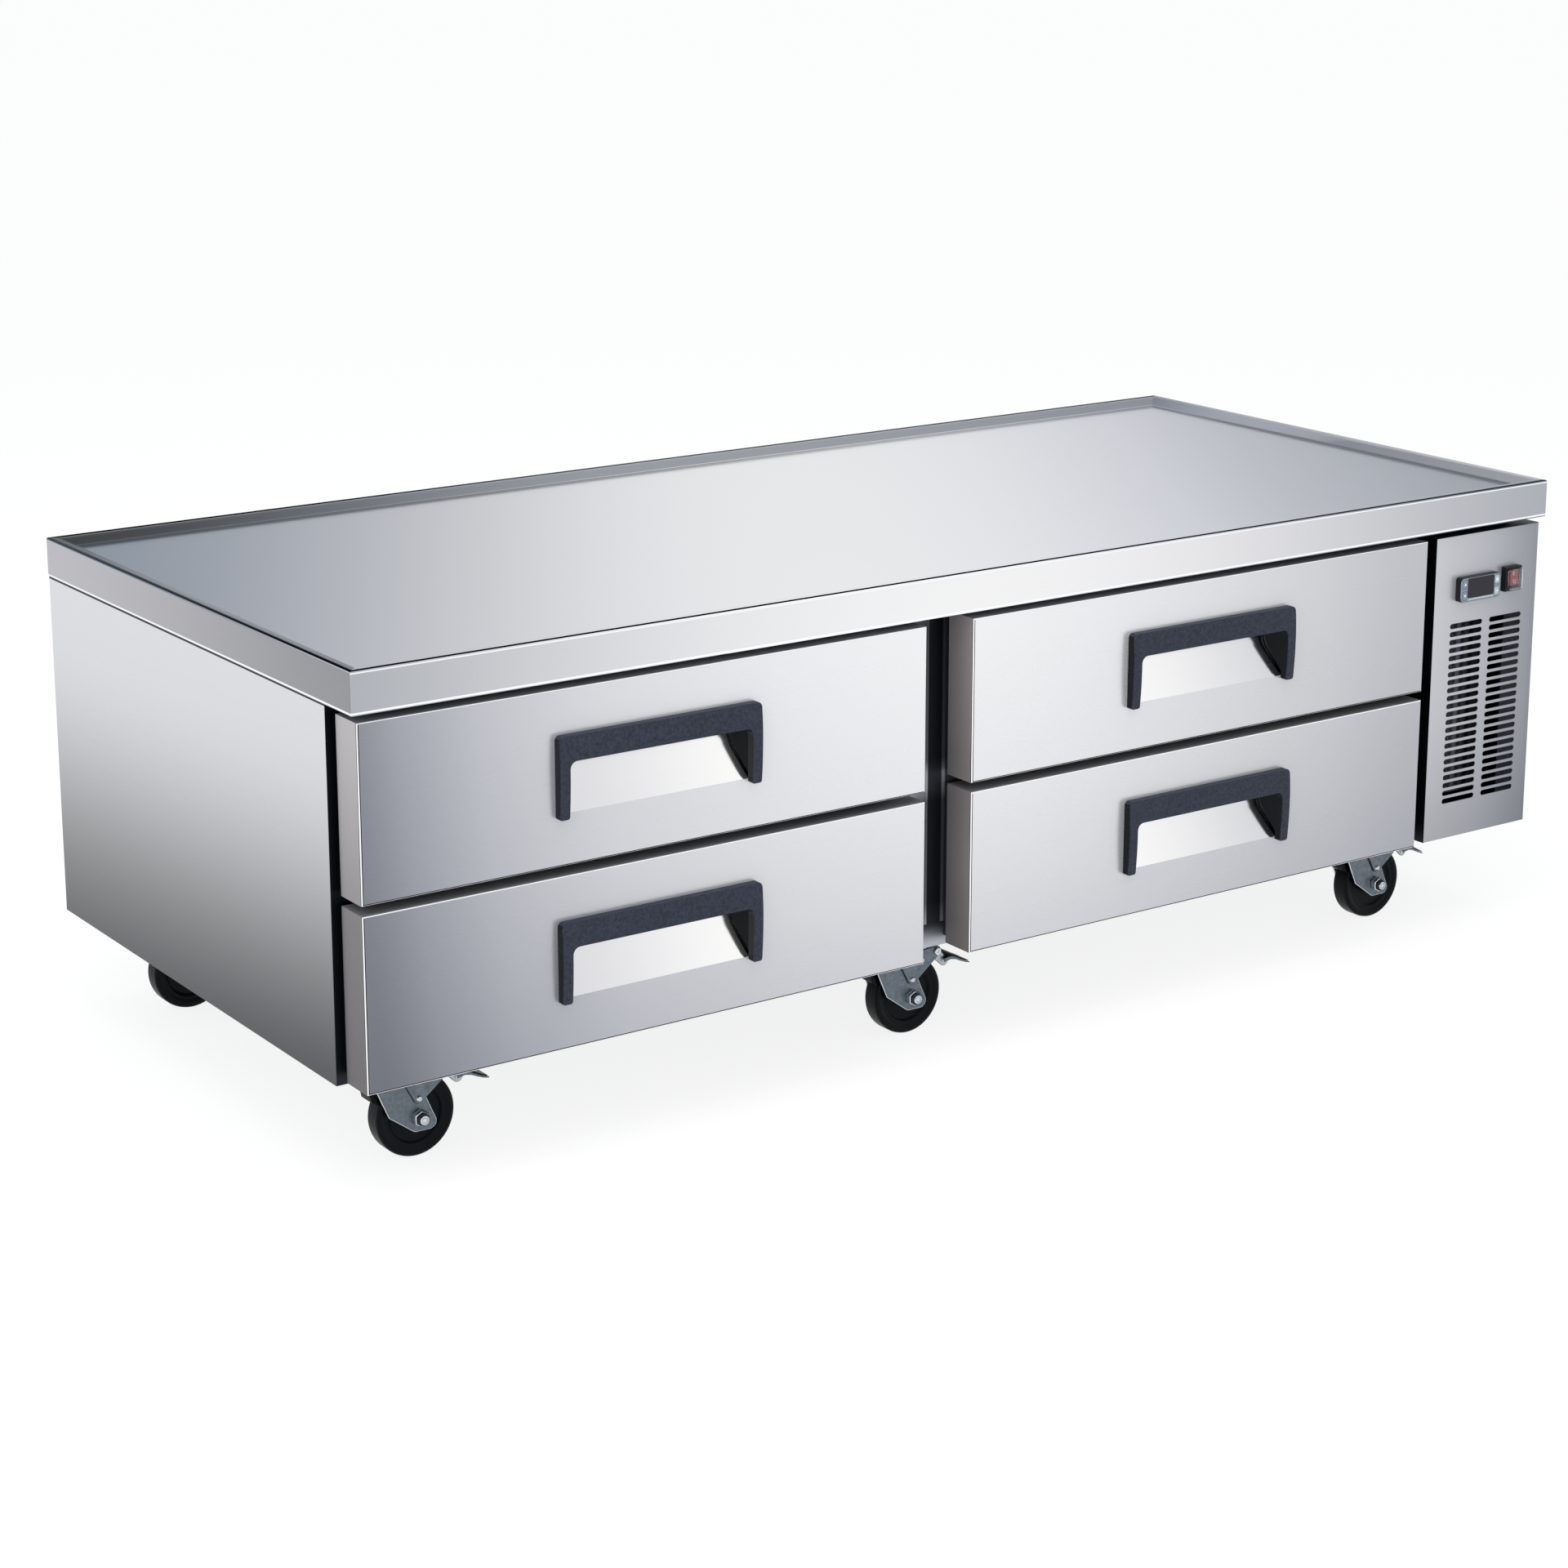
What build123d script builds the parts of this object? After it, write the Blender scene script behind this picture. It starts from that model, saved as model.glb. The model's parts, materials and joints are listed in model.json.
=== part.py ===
from build123d import *
from math import cos, radians, sin
import os

# Refrigerated chef base: a low cabinet on casters with four chilled drawers and a cooling unit at the right.
# Millimetres. X to the right, Y to the back, Z up; the origin is on the floor under the middle of the object.

# Overall sizes
WIDTH = 1838          # worktop, left to right
DEPTH = 822           # worktop, front to back
HEIGHT = 621          # floor to the top of the worktop's rim
CASTER_HEIGHT = 127   # floor to the underside of the cabinet
EDGE = 51             # height of the worktop's turned-down edge
HANDLE_PROUD = 13     # handle in front of its drawer front
DRAWER_SETBACK = 3    # drawer face behind the worktop's front edge

LEFT = -WIDTH / 2
FRONT = -(DEPTH + HANDLE_PROUD - DRAWER_SETBACK) / 2 + HANDLE_PROUD - DRAWER_SETBACK
BACK = FRONT + DEPTH
MIDDLE = (FRONT + BACK) / 2

# Cabinet shell
SHEET = 1.2                     # stainless outer sheet
FOLD = 1.2                      # bevel that stands for a fold's radius
BODY_LEFT = LEFT + 1
BODY_RIGHT = -LEFT - 1
BODY_FRONT = FRONT + 65         # face of the front frame, which the gaskets close on
BODY_BACK = BACK - 2
BODY_BOTTOM = CASTER_HEIGHT
BODY_TOP = HEIGHT - EDGE
BODY_HEIGHT = BODY_TOP - BODY_BOTTOM
BASE_SHEET = 1.5
FLANGE = 20                     # returns along the sheets' edges

# Bays and the front frame's windows
FRAME_DEPTH = 12
BAY_WIDTH = 709
BAYS = {"left": LEFT + 38, "right": LEFT + 878}
WINDOW_HEIGHT = 164
WINDOWS = {"lower": BODY_BOTTOM + 31, "upper": BODY_BOTTOM + 247}
FLOOR = WINDOWS["lower"]
CEILING = WINDOWS["upper"] + WINDOW_HEIGHT
CHAMBER_FRONT = BODY_FRONT + FRAME_DEPTH
CHAMBER_BACK = FRONT + 770
CHAMBER_LEFT = BAYS["left"]
CHAMBER_RIGHT = BAYS["right"] + BAY_WIDTH
DIVIDER_LEFT = CHAMBER_LEFT + BAY_WIDTH
DIVIDER_RIGHT = BAYS["right"]
DIVIDER_BACK = FRONT + 685
LINER = 1.0
FOAM_GAP = 0.2
PARTITION = LEFT + 1640         # wall between the cold chamber and the machine bay

# Worktop
TOP_SHEET = 1.5
RIM_LAND = 13                   # level strip along the outer edge
RIM_FOOT = 28                   # where the rim's slope meets the flat top
RIM_RISE = 9

# Drawer fronts
FRONT_WIDTH = 769
FRONT_HEIGHT = 208
FRONT_THICK = 49
STACKS = {"left": LEFT + 8, "right": LEFT + 848}
ROWS = {"lower": BODY_BOTTOM + 6.7, "upper": BODY_BOTTOM + 226.5}
FACE = FRONT + DRAWER_SETBACK
FRONT_REAR = FACE + FRONT_THICK

# Gasket
GASKET_INSET = 6
GASKET_WIDTH = 16
SEAL_GAP = 0.3

# Handle and the recess behind it
HANDLE_WIDTH = 275
HANDLE_HEIGHT = 98
HANDLE_DROP = 53                # below the top edge of the drawer front
HANDLE_BAR = 30
HANDLE_LEG = 11
HANDLE_EDGE = (8, 2.5)          # how far the bow stands out at its top and at its foot
HANDLE_BELLY = 40.2             # below the handle's top, where it stands out most
HANDLE_CORNER = 6
RECESS_HALF = 130
RECESS_DEPTH = 42
CHEEK = 3

# Drawer frame, which food pans hang in, and the telescopic slides
SLIDE_THICK = 13
FRAME_LENGTH = 590
FRAME_SIDE = 100
FRAME_SHEET = 1.5
LEDGE = 12
PAN_BAR = 16
PAN_BAR_HEIGHT = 15
FRAME_CLEAR = 5                 # below the window's top edge
SLIDE_LENGTH = 600
SLIDE_FRONT = BODY_FRONT + 16
SLIDE_STEEL = 1.5

# Casters, whose outlines are measured from the swivel axis and from the floor
SWIVELS_X = {"left": LEFT + 90, "middle": LEFT + 799, "right": LEFT + 1610}
SWIVELS_Y = {"front": FRONT + 120, "rear": FRONT + 724}
TRAIL = 33
WHEEL_RADIUS = 50.8
WHEEL_WIDTH = 29
AXLE_RADIUS = 6
RUNNING_CLEARANCE = 0.05
PLATE_LENGTH = 92
PLATE_WIDTH = 68
PLATE_THICK = 4
RACE_RADIUS = 24
CROWN_HIGH = 113.5
FORK_GAP = 34                   # between the fork's legs
FORK_SHEET = 3
FORK_OUTLINE = [
    (-30, CROWN_HIGH), (-6, 57.5), (27, 34), (50, 34), (55, 43), (42, 76), (36, CROWN_HIGH),
]
LINK_SHEET = 2.8
LINK_OUTLINE = [(29, 68), (38, 69), (76, 100), (76, 111), (13, 108)]
BRAKE_PIVOT = (70, 105.5)
BRAKE_PIN_RADIUS = 4
PEDAL_WIDTH = 42
PEDAL_OUTLINE = [(62, 102), (78, 84), (88, 84), (90, 90), (76, 113), (65, 113)]
PAD_OUTLINE = [
    (83, 92.5), (92, 95.5), (104, 93), (131, 81), (130.5, 79.4), (104, 88), (85, 86.5),
]

# Machine bay
GRILLE_LEFT = LEFT + 1641
GRILLE_WIDTH = 195
GRILLE_LOW = BODY_BOTTOM + 6
GRILLE_HEIGHT = 427.5
GRILLE_FACE = FRONT + 10
SLOT_LENGTH = 59
SLOT_HEIGHT = 6.1
SLOT_PITCH = 11.25
SLOT_ROWS = 23
SLOT_GAP = 16                   # between the two columns
SLOT_MARGIN = 33                # left edge of the panel to the first column
SLOT_TOP = 126                  # top of the panel to the first row

# Controller and main switch
CONTROL_SIZE = (76, 34)
CONTROL_CENTRE = (GRILLE_LEFT + 77, GRILLE_LOW + GRILLE_HEIGHT - 75)
CONTROL_CORNER = 5
CONTROL_PROUD = 10
CONTROL_BODY = (70, 28, 45)
KEY_SIZE = (8, 11)
KEY_PROUD = 0.7
KEY_TRAVEL = 0.5
KEY_DEPTH = 3
KEY_CLEARANCE = 0.3
KEYS = {
    "key_upper_left": (-30.5, 8),
    "key_lower_left": (-30.5, -8),
    "key_upper_right": (30.5, 8),
    "key_lower_right": (30.5, -8),
}
WINDOW_SIZE = (42, 24)
WINDOW_DEEP = 1
SWITCH_SIZE = (30, 34)
SWITCH_CENTRE = (GRILLE_LEFT + 141, GRILLE_LOW + GRILLE_HEIGHT - 71)
SWITCH_PROUD = 9
SWITCH_BODY = (27, 30, 24)
ROCKER_SIZE = (20, 24)
ROCKER_TILT = 9
ROCKER_DEEP = 15                # well below the panel's face
ROCKER_OUTLINE = [              # height from the pivot, and reach in front of it
    (-10.5, 12.5), (0, 10.3), (10.5, 12.5), (9, 0), (4, -6), (-4, -6), (-9, 0),
]

os.makedirs("parts", exist_ok=True)


def save(builder, name):
    """Label a finished piece and write its file."""
    builder.part.label = name
    export_step(builder.part, f"parts/{name}.step")


def block(low, high, mode=Mode.ADD):
    """Add a rectangular block between two corners."""
    centre = tuple((a + b) / 2 for a, b in zip(low, high))
    with Locations(centre):
        Box(*[b - a for a, b in zip(low, high)], mode=mode)


# Worktop: a folded sheet pan with a raised rim all round and edges turned down
with BuildPart() as worktop:
    block((LEFT, FRONT, BODY_TOP), (-LEFT, BACK, HEIGHT))
    with BuildSketch(Plane.XY.offset(HEIGHT - RIM_RISE)):
        with Locations((0, MIDDLE)):
            Rectangle(WIDTH - 2 * RIM_FOOT, DEPTH - 2 * RIM_FOOT)
    with BuildSketch(Plane.XY.offset(HEIGHT)):
        with Locations((0, MIDDLE)):
            Rectangle(WIDTH - 2 * RIM_LAND, DEPTH - 2 * RIM_LAND)
    loft(mode=Mode.SUBTRACT)
    with BuildSketch(Plane.XY.offset(BODY_TOP + TOP_SHEET)):
        with Locations((0, MIDDLE)):
            Rectangle(WIDTH - 2 * TOP_SHEET, DEPTH - 2 * TOP_SHEET)
    extrude(amount=EDGE - RIM_RISE - 2 * TOP_SHEET, mode=Mode.SUBTRACT)
    with BuildSketch(Plane.XY.offset(BODY_TOP)):
        with Locations((0, MIDDLE)):
            Rectangle(WIDTH - 2 * FLANGE, DEPTH - 2 * FLANGE)
    extrude(amount=TOP_SHEET, mode=Mode.SUBTRACT)
save(worktop, "worktop")


def side_panel(outer, inward, name):
    """One outer side sheet, with a return flange along its back edge."""
    with BuildPart() as panel:
        with BuildSketch(Plane.XY.offset(BODY_BOTTOM)):
            with BuildLine():
                Polyline(
                    (outer, BODY_FRONT),
                    (outer, BODY_BACK),
                    (outer + inward * FLANGE, BODY_BACK),
                    (outer + inward * FLANGE, BODY_BACK - SHEET),
                    (outer + inward * SHEET, BODY_BACK - SHEET),
                    (outer + inward * SHEET, BODY_FRONT),
                    close=True,
                )
            make_face()
        extrude(amount=BODY_HEIGHT)
    save(panel, name)


side_panel(BODY_LEFT, 1, "left_side_panel")
side_panel(BODY_RIGHT, -1, "right_side_panel")

# Back panel: lapped inside the side panels' flanges, with exhaust slots behind the machine bay
SHELL_BACK = BODY_BACK - 2 * SHEET
EXHAUST_PITCH = 36
EXHAUST_SLOTS = 8
EXHAUST_WIDTH = 130
EXHAUST_HEIGHT = 12
with BuildPart() as back_panel:
    block(
        (BODY_LEFT + SHEET, SHELL_BACK, BODY_BOTTOM),
        (BODY_RIGHT - SHEET, SHELL_BACK + SHEET, BODY_TOP),
    )
    with BuildSketch(Plane.XZ.offset(-SHELL_BACK)):
        with Locations(((PARTITION + BODY_RIGHT) / 2, BODY_BOTTOM + BODY_HEIGHT / 2)):
            with GridLocations(1, EXHAUST_PITCH, 1, EXHAUST_SLOTS):
                Rectangle(EXHAUST_WIDTH, EXHAUST_HEIGHT)
    extrude(amount=-SHEET, mode=Mode.SUBTRACT)
save(back_panel, "back_panel")

# Base: the bottom sheet, folded up as the wall between the chamber and the machine bay
with BuildPart() as bottom_panel:
    block(
        (BODY_LEFT + SHEET, BODY_FRONT + FRAME_DEPTH, BODY_BOTTOM),
        (BODY_RIGHT - SHEET, SHELL_BACK, BODY_BOTTOM + BASE_SHEET),
    )
    block(
        (PARTITION, BODY_FRONT + FRAME_DEPTH, BODY_BOTTOM),
        (PARTITION + SHEET, SHELL_BACK, BODY_TOP),
    )
save(bottom_panel, "bottom_panel")

# Insulation: foam boards between the outer sheets and the liner, and a board inside the worktop
FOAM_LEFT = BODY_LEFT + SHEET
FOAM_LOW = BODY_BOTTOM + BASE_SHEET
with BuildPart() as insulation:
    block((FOAM_LEFT, CHAMBER_FRONT, FOAM_LOW), (PARTITION, SHELL_BACK, FLOOR - LINER))
    block((FOAM_LEFT, CHAMBER_FRONT, CEILING + LINER), (PARTITION, SHELL_BACK, BODY_TOP))
    wall_low = FLOOR - LINER + FOAM_GAP
    wall_high = CEILING + LINER - FOAM_GAP
    block(
        (FOAM_LEFT, CHAMBER_FRONT, wall_low),
        (CHAMBER_LEFT - LINER, SHELL_BACK, wall_high),
    )
    block(
        (CHAMBER_RIGHT + LINER, CHAMBER_FRONT, wall_low),
        (PARTITION, SHELL_BACK, wall_high),
    )
    block(
        (CHAMBER_LEFT - LINER + FOAM_GAP, CHAMBER_BACK + LINER, wall_low),
        (CHAMBER_RIGHT + LINER - FOAM_GAP, SHELL_BACK, wall_high),
    )
    block(
        (DIVIDER_LEFT + LINER, CHAMBER_FRONT, FLOOR),
        (DIVIDER_RIGHT - LINER, DIVIDER_BACK - LINER, CEILING),
    )
    block(
        (LEFT + TOP_SHEET, FRONT + TOP_SHEET, BODY_TOP + TOP_SHEET),
        (-LEFT - TOP_SHEET, BACK - TOP_SHEET, HEIGHT - RIM_RISE - TOP_SHEET),
    )
save(insulation, "insulation")

# Liner: the thin inner tub, with a hollow pier between the two bays that carries their slides
with BuildPart() as inner_liner:
    block(
        (CHAMBER_LEFT - LINER, CHAMBER_FRONT, FLOOR - LINER),
        (CHAMBER_RIGHT + LINER, CHAMBER_BACK + LINER, CEILING + LINER),
    )
    block(
        (CHAMBER_LEFT, CHAMBER_FRONT, FLOOR),
        (CHAMBER_RIGHT, CHAMBER_BACK, CEILING),
        mode=Mode.SUBTRACT,
    )
    block((DIVIDER_LEFT, CHAMBER_FRONT, FLOOR), (DIVIDER_RIGHT, DIVIDER_BACK, CEILING))
    block(
        (DIVIDER_LEFT + LINER, CHAMBER_FRONT, FLOOR),
        (DIVIDER_RIGHT - LINER, DIVIDER_BACK - LINER, CEILING),
        mode=Mode.SUBTRACT,
    )
save(inner_liner, "inner_liner")

# Front frame: folded channels that the drawer gaskets close on, three posts and three rails in each bay
CHANNEL_SHEET = 1.5
POST_SPANS = [
    (BODY_LEFT + SHEET, CHAMBER_LEFT),
    (DIVIDER_LEFT, DIVIDER_RIGHT),
    (CHAMBER_RIGHT, PARTITION + SHEET),
]
RAIL_SPANS = [
    (BODY_BOTTOM, WINDOWS["lower"]),
    (WINDOWS["lower"] + WINDOW_HEIGHT, WINDOWS["upper"]),
    (WINDOWS["upper"] + WINDOW_HEIGHT, BODY_TOP),
]
with BuildPart() as face_frame:
    for low, high in POST_SPANS:
        block((low, BODY_FRONT, BODY_BOTTOM), (high, CHAMBER_FRONT, BODY_TOP))
        block(
            (low + CHANNEL_SHEET, BODY_FRONT + CHANNEL_SHEET, BODY_BOTTOM + CHANNEL_SHEET),
            (high - CHANNEL_SHEET, CHAMBER_FRONT, BODY_TOP - CHANNEL_SHEET),
            mode=Mode.SUBTRACT,
        )
    for bay in BAYS.values():
        for low, high in RAIL_SPANS:
            block(
                (bay + FOAM_GAP, BODY_FRONT + FOAM_GAP, low),
                (bay + BAY_WIDTH - FOAM_GAP, CHAMBER_FRONT, high),
            )
            block(
                (bay + CHANNEL_SHEET, BODY_FRONT + CHANNEL_SHEET, low + CHANNEL_SHEET),
                (bay + BAY_WIDTH - CHANNEL_SHEET, CHAMBER_FRONT, high - CHANNEL_SHEET),
                mode=Mode.SUBTRACT,
            )
save(face_frame, "face_frame")

# Telescopic slides: three nested channels a side, whose profiles are drawn from the wall towards the drawer
SLIDE_PROFILES = {
    # half of its height, then how far its web and its lips are from the wall
    "outer": (22.5, 0, 11.5),
    "middle": (19.5, 2.5, 12.2),
    "inner": (16, 13, 5.5),
}


def slide_outline(member, wall, toward, centre):
    """Closed channel outline of one slide member, in X and Z."""
    half, web, lip = SLIDE_PROFILES[member]
    steel = SLIDE_STEEL
    inside = web + (steel if lip > web else -steel)
    corners = [
        (web, -half), (lip, -half), (lip, steel - half), (inside, steel - half),
        (inside, half - steel), (lip, half - steel), (lip, half), (web, half),
    ]
    return [(wall + toward * x, centre + z) for x, z in corners]


def slide_centre(row):
    """Height of a row's slides, in the middle of the drawer frame's side."""
    return WINDOWS[row] + WINDOW_HEIGHT - FRAME_CLEAR - FRAME_SIDE / 2


def slide_pair(member, stack, row):
    """Both channels of one slide member of one drawer."""
    left_wall = BAYS[stack]
    for wall, toward in ((left_wall, 1), (left_wall + BAY_WIDTH, -1)):
        with BuildSketch(Plane.XZ.offset(-SLIDE_FRONT)) as outline:
            Polygon(*slide_outline(member, wall, toward, slide_centre(row)), align=None)
        extrude(outline.sketch, amount=-SLIDE_LENGTH)


with BuildPart() as cabinet_slides:
    for stack in BAYS:
        for row in ROWS:
            slide_pair("outer", stack, row)
save(cabinet_slides, "cabinet_slides")


def drawer_front(name, stack, row):
    """Foamed front with a sloping hand recess behind the handle."""
    left, low = STACKS[stack], ROWS[row]
    middle = left + FRONT_WIDTH / 2
    handle_top = low + FRONT_HEIGHT - HANDLE_DROP
    with BuildPart() as front:
        block((left, FACE, low), (left + FRONT_WIDTH, FRONT_REAR, low + FRONT_HEIGHT))
        chamfer(front.faces().sort_by(Axis.Y)[0].edges(), length=FOLD)
        with BuildSketch(Plane.YZ.offset(middle - RECESS_HALF)):
            Polygon(
                (FACE, handle_top - HANDLE_HEIGHT + 5),
                (FACE, handle_top - 8),
                (FACE + RECESS_DEPTH, handle_top - 8),
                (FACE + RECESS_DEPTH, handle_top - 14),
                align=None,
            )
        extrude(amount=2 * RECESS_HALF, mode=Mode.SUBTRACT)
    save(front, name)


def drawer_handle(name, stack, row):
    """Moulded pull: a bowed arch on the face, with cheeks and a ceiling that line the recess."""
    middle = STACKS[stack] + FRONT_WIDTH / 2
    top = ROWS[row] + FRONT_HEIGHT - HANDLE_DROP
    foot = top - HANDLE_HEIGHT
    half = HANDLE_WIDTH / 2
    with BuildPart() as handle:
        with BuildSketch(Plane.YZ.offset(middle - half)):
            with BuildLine():
                rim, toe = (FACE - HANDLE_EDGE[0], top), (FACE - HANDLE_EDGE[1], foot)
                ThreePointArc(rim, (FACE - HANDLE_PROUD, top - HANDLE_BELLY), toe)
                Polyline(toe, (FACE, foot), (FACE, top), rim)
            make_face()
        extrude(amount=HANDLE_WIDTH)
        ends = handle.edges().filter_by(Axis.Y)
        fillet(ends.sort_by(Axis.Z)[-2:], radius=HANDLE_CORNER)
        with BuildSketch(Plane.XZ.offset(-FACE)):
            with BuildLine():
                Polyline(
                    (middle - half + HANDLE_LEG, foot - 1),
                    (middle - half + HANDLE_LEG, top - HANDLE_BAR),
                    (middle + half - HANDLE_LEG, top - HANDLE_BAR),
                    (middle + half - HANDLE_LEG, foot - 1),
                    close=True,
                )
            window = make_face()
            chamfer(window.vertices().group_by(Axis.Y)[-1], length=HANDLE_CORNER)
        extrude(amount=2 * HANDLE_PROUD, mode=Mode.SUBTRACT)
        ceiling = top - 8.1
        cheek_deep = FACE + RECESS_DEPTH - 0.3
        for side in (middle - RECESS_HALF, middle + RECESS_HALF - CHEEK):
            with BuildSketch(Plane.YZ.offset(side)):
                Polygon(
                    (FACE, foot + 6),
                    (FACE, ceiling),
                    (cheek_deep, ceiling),
                    (cheek_deep, ceiling - 5),
                    align=None,
                )
            extrude(amount=CHEEK)
        block(
            (middle - RECESS_HALF, FACE, ceiling - 2),
            (middle + RECESS_HALF, cheek_deep, ceiling),
        )
    save(handle, name)


def drawer_gasket(name, stack, row):
    """Bellows seal: a base strip, a narrow neck and a magnet head, run round the back of the front."""
    width = FRONT_WIDTH - 2 * GASKET_INSET
    height = FRONT_HEIGHT - 2 * GASKET_INSET
    centre = (STACKS[stack] + FRONT_WIDTH / 2, ROWS[row] + FRONT_HEIGHT / 2)
    start = FRONT_REAR
    with BuildPart() as gasket:
        for inset, reach in ((0, 4), (3, 4), (0, BODY_FRONT - SEAL_GAP - FRONT_REAR - 8)):
            with BuildSketch(Plane.XZ.offset(-start)):
                with Locations(centre):
                    Rectangle(width - 2 * inset, height - 2 * inset)
                    inner = GASKET_WIDTH - inset
                    Rectangle(width - 2 * inner, height - 2 * inner, mode=Mode.SUBTRACT)
            extrude(amount=-reach)
            start += reach
    save(gasket, name)


def drawer_frame(name, stack, row):
    """Open pan frame with a ledge and a middle bar, and the slides' inner members on its sides."""
    left = BAYS[stack] + SLIDE_THICK
    right = BAYS[stack] + BAY_WIDTH - SLIDE_THICK
    top = WINDOWS[row] + WINDOW_HEIGHT - FRAME_CLEAR
    low = top - FRAME_SIDE
    rear = FRONT_REAR + FRAME_LENGTH
    middle = (left + right) / 2
    with BuildPart() as frame:
        block((left, FRONT_REAR, low), (right, rear, top))
        block(
            (left + FRAME_SHEET, FRONT_REAR + FRAME_SHEET, low),
            (right - FRAME_SHEET, rear - FRAME_SHEET, top - FRAME_SHEET),
            mode=Mode.SUBTRACT,
        )
        block(
            (left + LEDGE, FRONT_REAR + LEDGE, low),
            (right - LEDGE, rear - LEDGE, top),
            mode=Mode.SUBTRACT,
        )
        bar_low = top - FRAME_SHEET - PAN_BAR_HEIGHT
        block(
            (middle - PAN_BAR / 2, FRONT_REAR + FRAME_SHEET, bar_low),
            (middle + PAN_BAR / 2, rear - FRAME_SHEET, top - FRAME_SHEET),
        )
        block(
            (middle - PAN_BAR / 2 + FRAME_SHEET, FRONT_REAR + FRAME_SHEET, bar_low),
            (middle + PAN_BAR / 2 - FRAME_SHEET, rear - FRAME_SHEET, top - 2 * FRAME_SHEET),
            mode=Mode.SUBTRACT,
        )
        slide_pair("inner", stack, row)
    save(frame, name)


def middle_slides(name, stack, row):
    """The travelling members between a drawer's slides and the cabinet's."""
    with BuildPart() as members:
        slide_pair("middle", stack, row)
    save(members, name)


for stack in STACKS:
    for row in ROWS:
        drawer = f"{row}_{stack}"
        drawer_front(f"{drawer}_drawer_front", stack, row)
        drawer_handle(f"{drawer}_handle", stack, row)
        drawer_gasket(f"{drawer}_gasket", stack, row)
        drawer_frame(f"{drawer}_drawer_frame", stack, row)
        middle_slides(f"{drawer}_middle_slides", stack, row)

# Caster mounting plates with their swivel races: under each corner and the middle of each long side
with BuildPart() as caster_plates:
    for y in SWIVELS_Y.values():
        for x in SWIVELS_X.values():
            block(
                (x - PLATE_LENGTH / 2, y - PLATE_WIDTH / 2, CASTER_HEIGHT - PLATE_THICK),
                (x + PLATE_LENGTH / 2, y + PLATE_WIDTH / 2, CASTER_HEIGHT),
            )
            with BuildSketch(Plane.XY.offset(CASTER_HEIGHT - PLATE_THICK)):
                with Locations((x, y)):
                    Circle(RACE_RADIUS)
            extrude(amount=CROWN_HIGH + SEAL_GAP - CASTER_HEIGHT + PLATE_THICK)
save(caster_plates, "caster_plates")


def across(outline, x, y, half):
    """Add a piece as wide as twice its half width, from an outline measured from the swivel axis."""
    with BuildSketch(Plane.XZ.offset(half - y)) as face:
        Polygon(*[(x + along, height) for along, height in outline], align=None)
    extrude(face.sketch, amount=-2 * half)


def plate_pair(outline, x, y, inner, thick):
    """Add two upright plates, in front of the caster's middle and behind it."""
    for near in (y - inner - thick, y + inner):
        with BuildSketch(Plane.XZ.offset(-near)) as face:
            Polygon(*[(x + along, height) for along, height in outline], align=None)
        extrude(face.sketch, amount=-thick)


def caster_fork(name, x, y, braked):
    """Pressed fork with its axle bolt, and on a braked caster two link plates and the pedal's pin."""
    leg = FORK_GAP / 2 + FORK_SHEET
    heel, toe = FORK_OUTLINE[0][0], FORK_OUTLINE[-1][0]
    with BuildPart() as fork:
        plate_pair(FORK_OUTLINE, x, y, FORK_GAP / 2, FORK_SHEET)
        block((x + heel, y - leg, CROWN_HIGH - FORK_SHEET), (x + toe, y + leg, CROWN_HIGH))
        bolts = [((TRAIL, WHEEL_RADIUS), AXLE_RADIUS, leg)]
        if braked:
            plate_pair(LINK_OUTLINE, x, y, leg, LINK_SHEET)
            bolts.append((BRAKE_PIVOT, BRAKE_PIN_RADIUS, leg + LINK_SHEET))
        for (along, height), radius, half in bolts:
            with BuildSketch(Plane.XZ.offset(half - y)):
                with Locations((x + along, height)):
                    Circle(radius)
            extrude(amount=-2 * half)
    save(fork, name)


def caster_wheel(name, x, y):
    """Black wheel with a plain bore."""
    with BuildPart() as wheel:
        with BuildSketch(Plane.XZ.offset(WHEEL_WIDTH / 2 - y)):
            with Locations((x + TRAIL, WHEEL_RADIUS)):
                Circle(WHEEL_RADIUS)
                Circle(AXLE_RADIUS + RUNNING_CLEARANCE, mode=Mode.SUBTRACT)
        extrude(amount=-WHEEL_WIDTH)
    save(wheel, name)


def brake_pedal(name, x, y):
    """Pedal that turns on the fork's pin, with a broad pad at its end."""
    arm = FORK_GAP / 2 - 1
    with BuildPart() as pedal:
        across(PEDAL_OUTLINE, x, y, arm)
        with BuildSketch(Plane.XZ.offset(arm - y)):
            with Locations((x + BRAKE_PIVOT[0], BRAKE_PIVOT[1])):
                Circle(BRAKE_PIN_RADIUS + RUNNING_CLEARANCE)
        extrude(amount=-2 * arm, mode=Mode.SUBTRACT)
        across(PAD_OUTLINE, x, y, PEDAL_WIDTH / 2)
    save(pedal, name)


for depth_name, y in SWIVELS_Y.items():
    for side_name, x in SWIVELS_X.items():
        caster = f"{depth_name}_{side_name}"
        braked = depth_name == "front"
        caster_fork(f"{caster}_caster_fork", x, y, braked)
        caster_wheel(f"{caster}_wheel", x, y)
        if braked:
            brake_pedal(f"{caster}_brake_pedal", x, y)

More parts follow.
